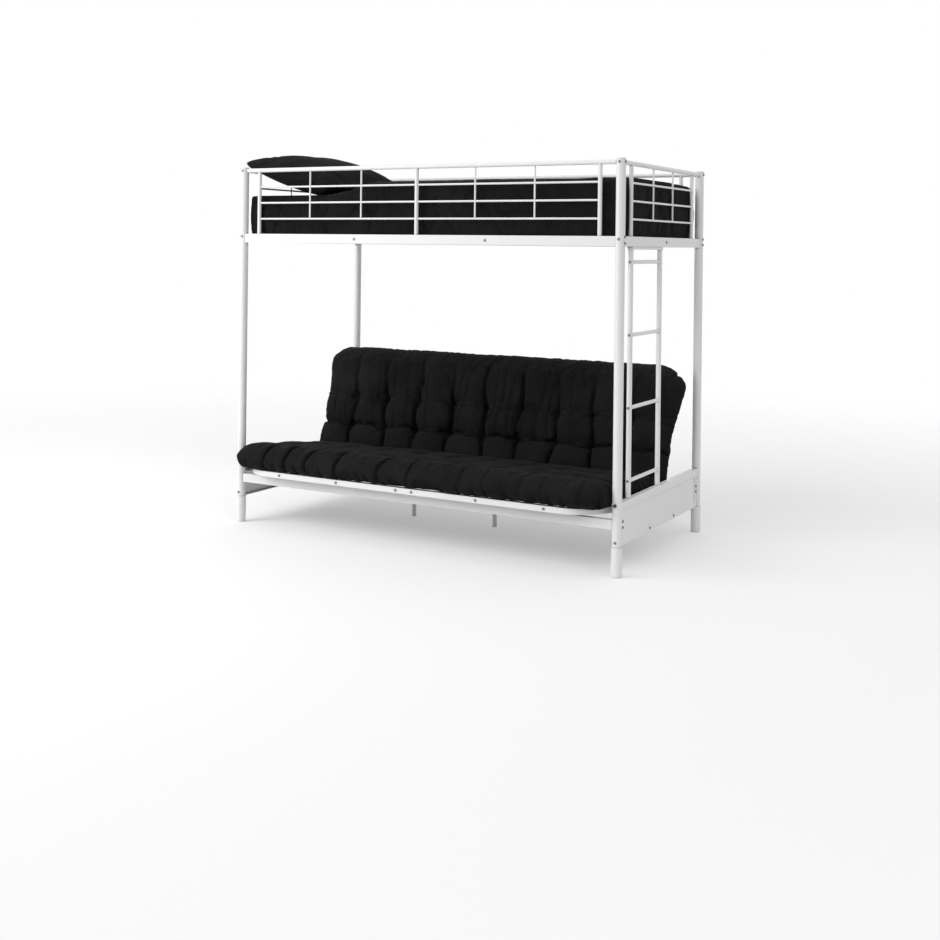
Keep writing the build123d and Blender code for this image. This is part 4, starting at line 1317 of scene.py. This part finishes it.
class LOFTBED_OT_mattress(bpy.types.Operator):
    """Build the mattress on the deck, thinner below the pillow, in its black cover"""

    bl_idname = "loftbed.mattress"
    bl_label = "Upper mattress"

    # Half of the mattress's length and depth, and its thickness
    half_length, half_depth = 0.965, 0.465
    thickness = 0.25
    # Thickness of the pressed end below the pillow, and the x up to which it's flat
    low_thickness = 0.198
    low_end = -0.53

    def places(self, corners, bottom):
        """Shape the points of a unit box into the mattress. Hand back their box heights too."""
        half = np.array((self.half_length, self.half_depth, self.thickness / 2))
        box = (corners * 2 - 1) * half
        box = round_edges(box, half, ((0.014, 0.014), (0.014, 0.014), (0.018, 0.020)))
        x, y, w = box[:, 0], box[:, 1], box[:, 2] / self.thickness + 0.5
        rising = ease(x, -0.532, -0.252)
        crown = 0.012 * (1 - (y / self.half_depth) ** 2)
        above = self.thickness - self.low_thickness + crown
        top = bottom + self.low_thickness + above * rising
        z = bottom + w * (top - bottom)
        pinch = 0.006 * (1 - np.sin(np.pi * np.clip(w, 0, 1)) ** 0.8)
        x = x * (1 - pinch / self.half_length)
        y = y * (1 - pinch / self.half_depth)
        return x, y, z, w

    def rumple(self, piece):
        """Dent and rumple the filled cover, and mark its deeper creases for painted shade."""
        points = points_of(piece)
        x, y, z = points.T
        patches = ease(field(x * 3, y * 3 + z * 3, 34), -0.05, 0.45)
        broad = ridges(x * 2.6 + z * 3, y * 2.6 + z * 5, 31, 2) * patches
        fine = ridges(x * 9 + z * 2, y * 5 - z * 6, 32, 3) * (1 - patches)
        dents = 0.0075 * broad + 0.0034 * fine + 0.0022 * field(x * 5, y * 5 + z * 5, 33)
        set_points(piece, points - normals_of(piece) * dents[:, None])
        # Painted shade: the fine creases are marked for the fabric to darken.
        paint_crease_shade(piece, 0.5 * fine ** 2)

    def fit(self, piece, flat, low, high, bottom):
        """Keep the mattress inside the rails and the guards, and flat below the pillow."""
        rail_room, guard_room = 0.0135, 0.0105
        x, y, z = points_of(piece).T
        highest = np.where(flat, bottom + self.low_thickness, high.z + 0.006)
        z = np.clip(z, low.z + 0.0002, highest)
        room = np.where(z < DECK_RAIL_TOP + 0.004, rail_room, guard_room)
        x = np.clip(x, room - HALF_LENGTH, HALF_LENGTH - room)
        y = MIDDLE_Y + np.clip(y - MIDDLE_Y, room - HALF_DEPTH, HALF_DEPTH - room)
        set_points(piece, np.stack((x, y, z), axis=1))

    def execute(self, context):
        bedding = context.scene.loft_bed.bedding
        low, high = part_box("upper_mattress")
        bottom = low.z + 0.0004
        sides = (2 * self.half_length, 2 * self.half_depth, self.thickness)
        corners, faces, layout = box_grid(tuple(round(side / COARSE_GRID) for side in sides))
        x, y, z, w = self.places(corners, bottom)
        points = np.stack((x, y + MIDDLE_Y, z), axis=1)
        piece = make_mesh("deck_mattress", points, faces, layout, COARSE_GRID)
        by_corner = (np.abs(x) > self.half_length - 0.03) & (np.abs(y) > self.half_depth - 0.03)
        held = np.where(w < 0.08, 1.0, np.where(by_corner, 0.8, 0.0))
        fill_cover(piece, held, bedding.slack, pressure=3.0, travel=0.008)
        apply_modifier(piece, "SUBSURF", levels=1, render_levels=1)
        flat = points_of(piece)[:, 0] < self.low_end
        self.rumple(piece)
        self.fit(piece, flat, low, high, bottom)
        stand_for(piece, "upper_mattress", "frame", "bedding_cotton")
        return {"FINISHED"}


class LOFTBED_OT_pillow(bpy.types.Operator):
    """Build the pillow that leans on the left guard"""

    bl_idname = "loftbed.pillow"
    bl_label = "Pillow"

    # Half of the pillow's size along and across the bed, and the angle at which it leans
    half_width, half_depth = 0.2495, 0.3545
    tilt = math.radians(14)

    def swell(self, x, y):
        """How far a face of the pillow stands out beyond its rim."""
        sides = 0.084 * np.clip(1 - (x / self.half_width) ** 2, 0.0001, 1)
        ends = 0.104 * np.clip(1 - (y / self.half_depth) ** 2, 0.0001, 1)
        return (sides ** -6 + ends ** -6) ** (-1 / 6)

    def execute(self, context):
        bedding = context.scene.loft_bed.bedding
        low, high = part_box("pillow")
        rim = 0.008
        counts = (round(2 * self.half_width / FINE_GRID), round(2 * self.half_depth / FINE_GRID), 4)
        corners, faces, layout = box_grid(counts)
        half = np.array((self.half_width, self.half_depth, rim))
        box = (corners * 2 - 1) * half
        box = round_edges(box, half, ((0.012, 0.012), (0.012, 0.012), (0.0075, 0.0075)))
        x, y, w = box.T
        w = w * (1 + self.swell(x, y) / rim)
        points = np.stack((x, y, w), axis=1)
        piece = make_mesh("pillow_cover", points, faces, layout, FINE_GRID)
        inset = np.minimum(self.half_width - np.abs(x), self.half_depth - np.abs(y))
        held = np.clip(1.3 - inset / 0.05, 0, 0.98)
        fill_cover(piece, held, bedding.slack, pressure=4.0, travel=0.008)
        apply_modifier(piece, "SUBSURF", levels=1, render_levels=1)
        points = points_of(piece)
        x, y, w = points.T
        folds = ridges(x * 14, y * 5 + w * 9, 41, 3) * ease(-x, -0.05, 0.12)
        dents = 0.0035 * folds + 0.0016 * field(x * 12, y * 12 + w * 12, 42)
        points = points - normals_of(piece) * dents[:, None]
        underside = -rim - self.swell(points[:, 0], points[:, 1]) * 0.95
        points[:, 2] = np.maximum(points[:, 2], underside)
        turn = np.array(Matrix.Rotation(self.tilt, 3, "Y"))
        set_points(piece, points @ turn.T + np.array((low + high) / 2))
        # Painted shade: the folds are marked for the fabric to darken.
        paint_crease_shade(piece, 0.5 * folds ** 2)
        stand_for(piece, "pillow", "frame", "bedding_cotton")
        return {"FINISHED"}


# Stage

class LOFTBED_OT_stage(bpy.types.Operator):
    """Set the floor, the lights, the world and the camera"""

    bl_idname = "loftbed.stage"
    bl_label = "Stage"

    def floor(self):
        """A pale flat floor, partly see-through, that fades out into the white background away from
        the bed.
        """
        deselect_all()
        bpy.ops.mesh.primitive_plane_add(size=30, location=(0, 0, -0.0006))
        floor = bpy.context.object
        floor.name = "stage_floor"
        place_in_mesh(floor)
        material, tree, main = start_material("pale_floor", (0.96, 0.96, 0.96), 0.95)
        main.inputs["Specular IOR Level"].default_value = 0.05
        place = tree.nodes.new("ShaderNodeTexCoord").outputs["Object"]
        reach = tree.nodes.new("ShaderNodeVectorMath")
        reach.operation = "LENGTH"
        tree.links.new(place, reach.inputs[0])
        fade = add_node(tree, "ShaderNodeMapRange", From_Min=2.2, From_Max=6.5, To_Min=0.30)
        fade.interpolation_type = "SMOOTHSTEP"
        tree.links.new(reach.outputs["Value"], fade.inputs["Value"])
        clear = tree.nodes.new("ShaderNodeBsdfTransparent")
        shown = mix_shaders(tree, fade.outputs["Result"], main.outputs[0], clear.outputs[0])
        tree.links.new(shown, tree.nodes["Material Output"].inputs["Surface"])
        floor.data.materials.append(material)

    def world(self):
        """Even soft light, with a white background for the camera and for reflections."""
        world = bpy.data.worlds.new("studio")
        world.use_nodes = True
        tree = world.node_tree
        light = tree.nodes["Background"]
        light.inputs["Color"].default_value = (1, 1, 1, 1)
        light.inputs["Strength"].default_value = 0.46
        seen = add_node(tree, "ShaderNodeBackground", Color=(1, 1, 1, 1), Strength=1.0)
        path = tree.nodes.new("ShaderNodeLightPath")
        chosen = path.outputs["Is Camera Ray"]
        for ray in ("Is Glossy Ray", "Is Transmission Ray"):
            chosen = calculate(tree, "MAXIMUM", chosen, path.outputs[ray])
        shown = mix_shaders(tree, chosen, light.outputs[0], seen.outputs[0])
        tree.links.new(shown, tree.nodes["World Output"].inputs["Surface"])
        bpy.context.scene.world = world

    def lamp(self, name, kind, place, aim, strength):
        """Add a lamp that shines from one place towards another, and hand back its settings."""
        data = bpy.data.lights.new(name, kind)
        data.energy = strength
        lamp = bpy.data.objects.new(name, data)
        lamp.location = place
        way = Vector(aim) - Vector(place)
        lamp.rotation_euler = way.to_track_quat("-Z", "Y").to_euler()
        bpy.context.scene.collection.objects.link(lamp)
        return data

    def lamps(self):
        """Light the bed softly: a near lamp on the left, and three broad far ones."""
        side = self.lamp("side", "AREA", (-3.1, -2.9, 2.2), (-0.2, 0, 0.9), 80)
        side.shape = "SQUARE"
        side.size = 2.2
        far = (
            ("key", (-2.4, -4.6, 4.2), 45, 0.85),
            ("fill", (3.8, -2.6, 4.2), 25, 0.40),
            ("top", (0.3, 0.6, 5.0), 70, 0.55),
        )
        for name, place, breadth, strength in far:
            sun = self.lamp(name, "SUN", place, (0, 0, 0.8), strength)
            sun.angle = math.radians(breadth)

    def camera(self):
        """The photograph's viewpoint."""
        data = bpy.data.cameras.new("camera")
        data.sensor_width = 36
        data.lens = 47.596
        data.shift_x = -0.0130
        data.shift_y = -0.2373
        data.clip_end = 200
        camera = bpy.data.objects.new("camera", data)
        camera.location = (2.9452, -5.1291, 1.3386)
        camera.rotation_euler = (math.radians(90), math.radians(-0.679), math.radians(29.04))
        bpy.context.scene.collection.objects.link(camera)
        bpy.context.scene.camera = camera

    def execute(self, context):
        self.floor()
        self.world()
        self.camera()
        self.lamps()
        context.scene.view_settings.view_transform = "Standard"
        return {"FINISHED"}


class LOFTBED_PT_panel(bpy.types.Panel):
    """The steps of dressing the bed"""

    bl_label = "Loft bed"
    bl_idname = "LOFTBED_PT_panel"
    bl_space_type = "VIEW_3D"
    bl_region_type = "UI"
    bl_category = "Loft bed"

    def draw(self, context):
        settings = context.scene.loft_bed
        for group in (settings.steel, settings.futon, settings.bedding):
            box = self.layout.box()
            for name in group.__annotations__:
                box.prop(group, name)
        for step in STEPS:
            self.layout.operator(step.bl_idname)


STEPS = (
    LOFTBED_OT_stage,
    LOFTBED_OT_steel,
    LOFTBED_OT_bolts,
    LOFTBED_OT_welds,
    LOFTBED_OT_caps,
    LOFTBED_OT_seat_pad,
    LOFTBED_OT_back_pad,
    LOFTBED_OT_tufts,
    LOFTBED_OT_fold,
    LOFTBED_OT_mattress,
    LOFTBED_OT_pillow,
)
CLASSES = (
    SteelSettings, FutonSettings, BeddingSettings, LoftBedSettings, *STEPS, LOFTBED_PT_panel,
)


def register():
    """Register the settings, the steps and the panel."""
    for each in CLASSES:
        bpy.utils.register_class(each)
    bpy.types.Scene.loft_bed = PointerProperty(type=LoftBedSettings)


def unregister():
    """Undo register."""
    del bpy.types.Scene.loft_bed
    for each in reversed(CLASSES):
        bpy.utils.unregister_class(each)


def main():
    """Dress the bed step by step."""
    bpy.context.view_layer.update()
    register()
    for step in STEPS:
        group, name = step.bl_idname.split(".")
        getattr(getattr(bpy.ops, group), name)()
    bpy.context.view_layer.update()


if __name__ == "__main__":
    main()
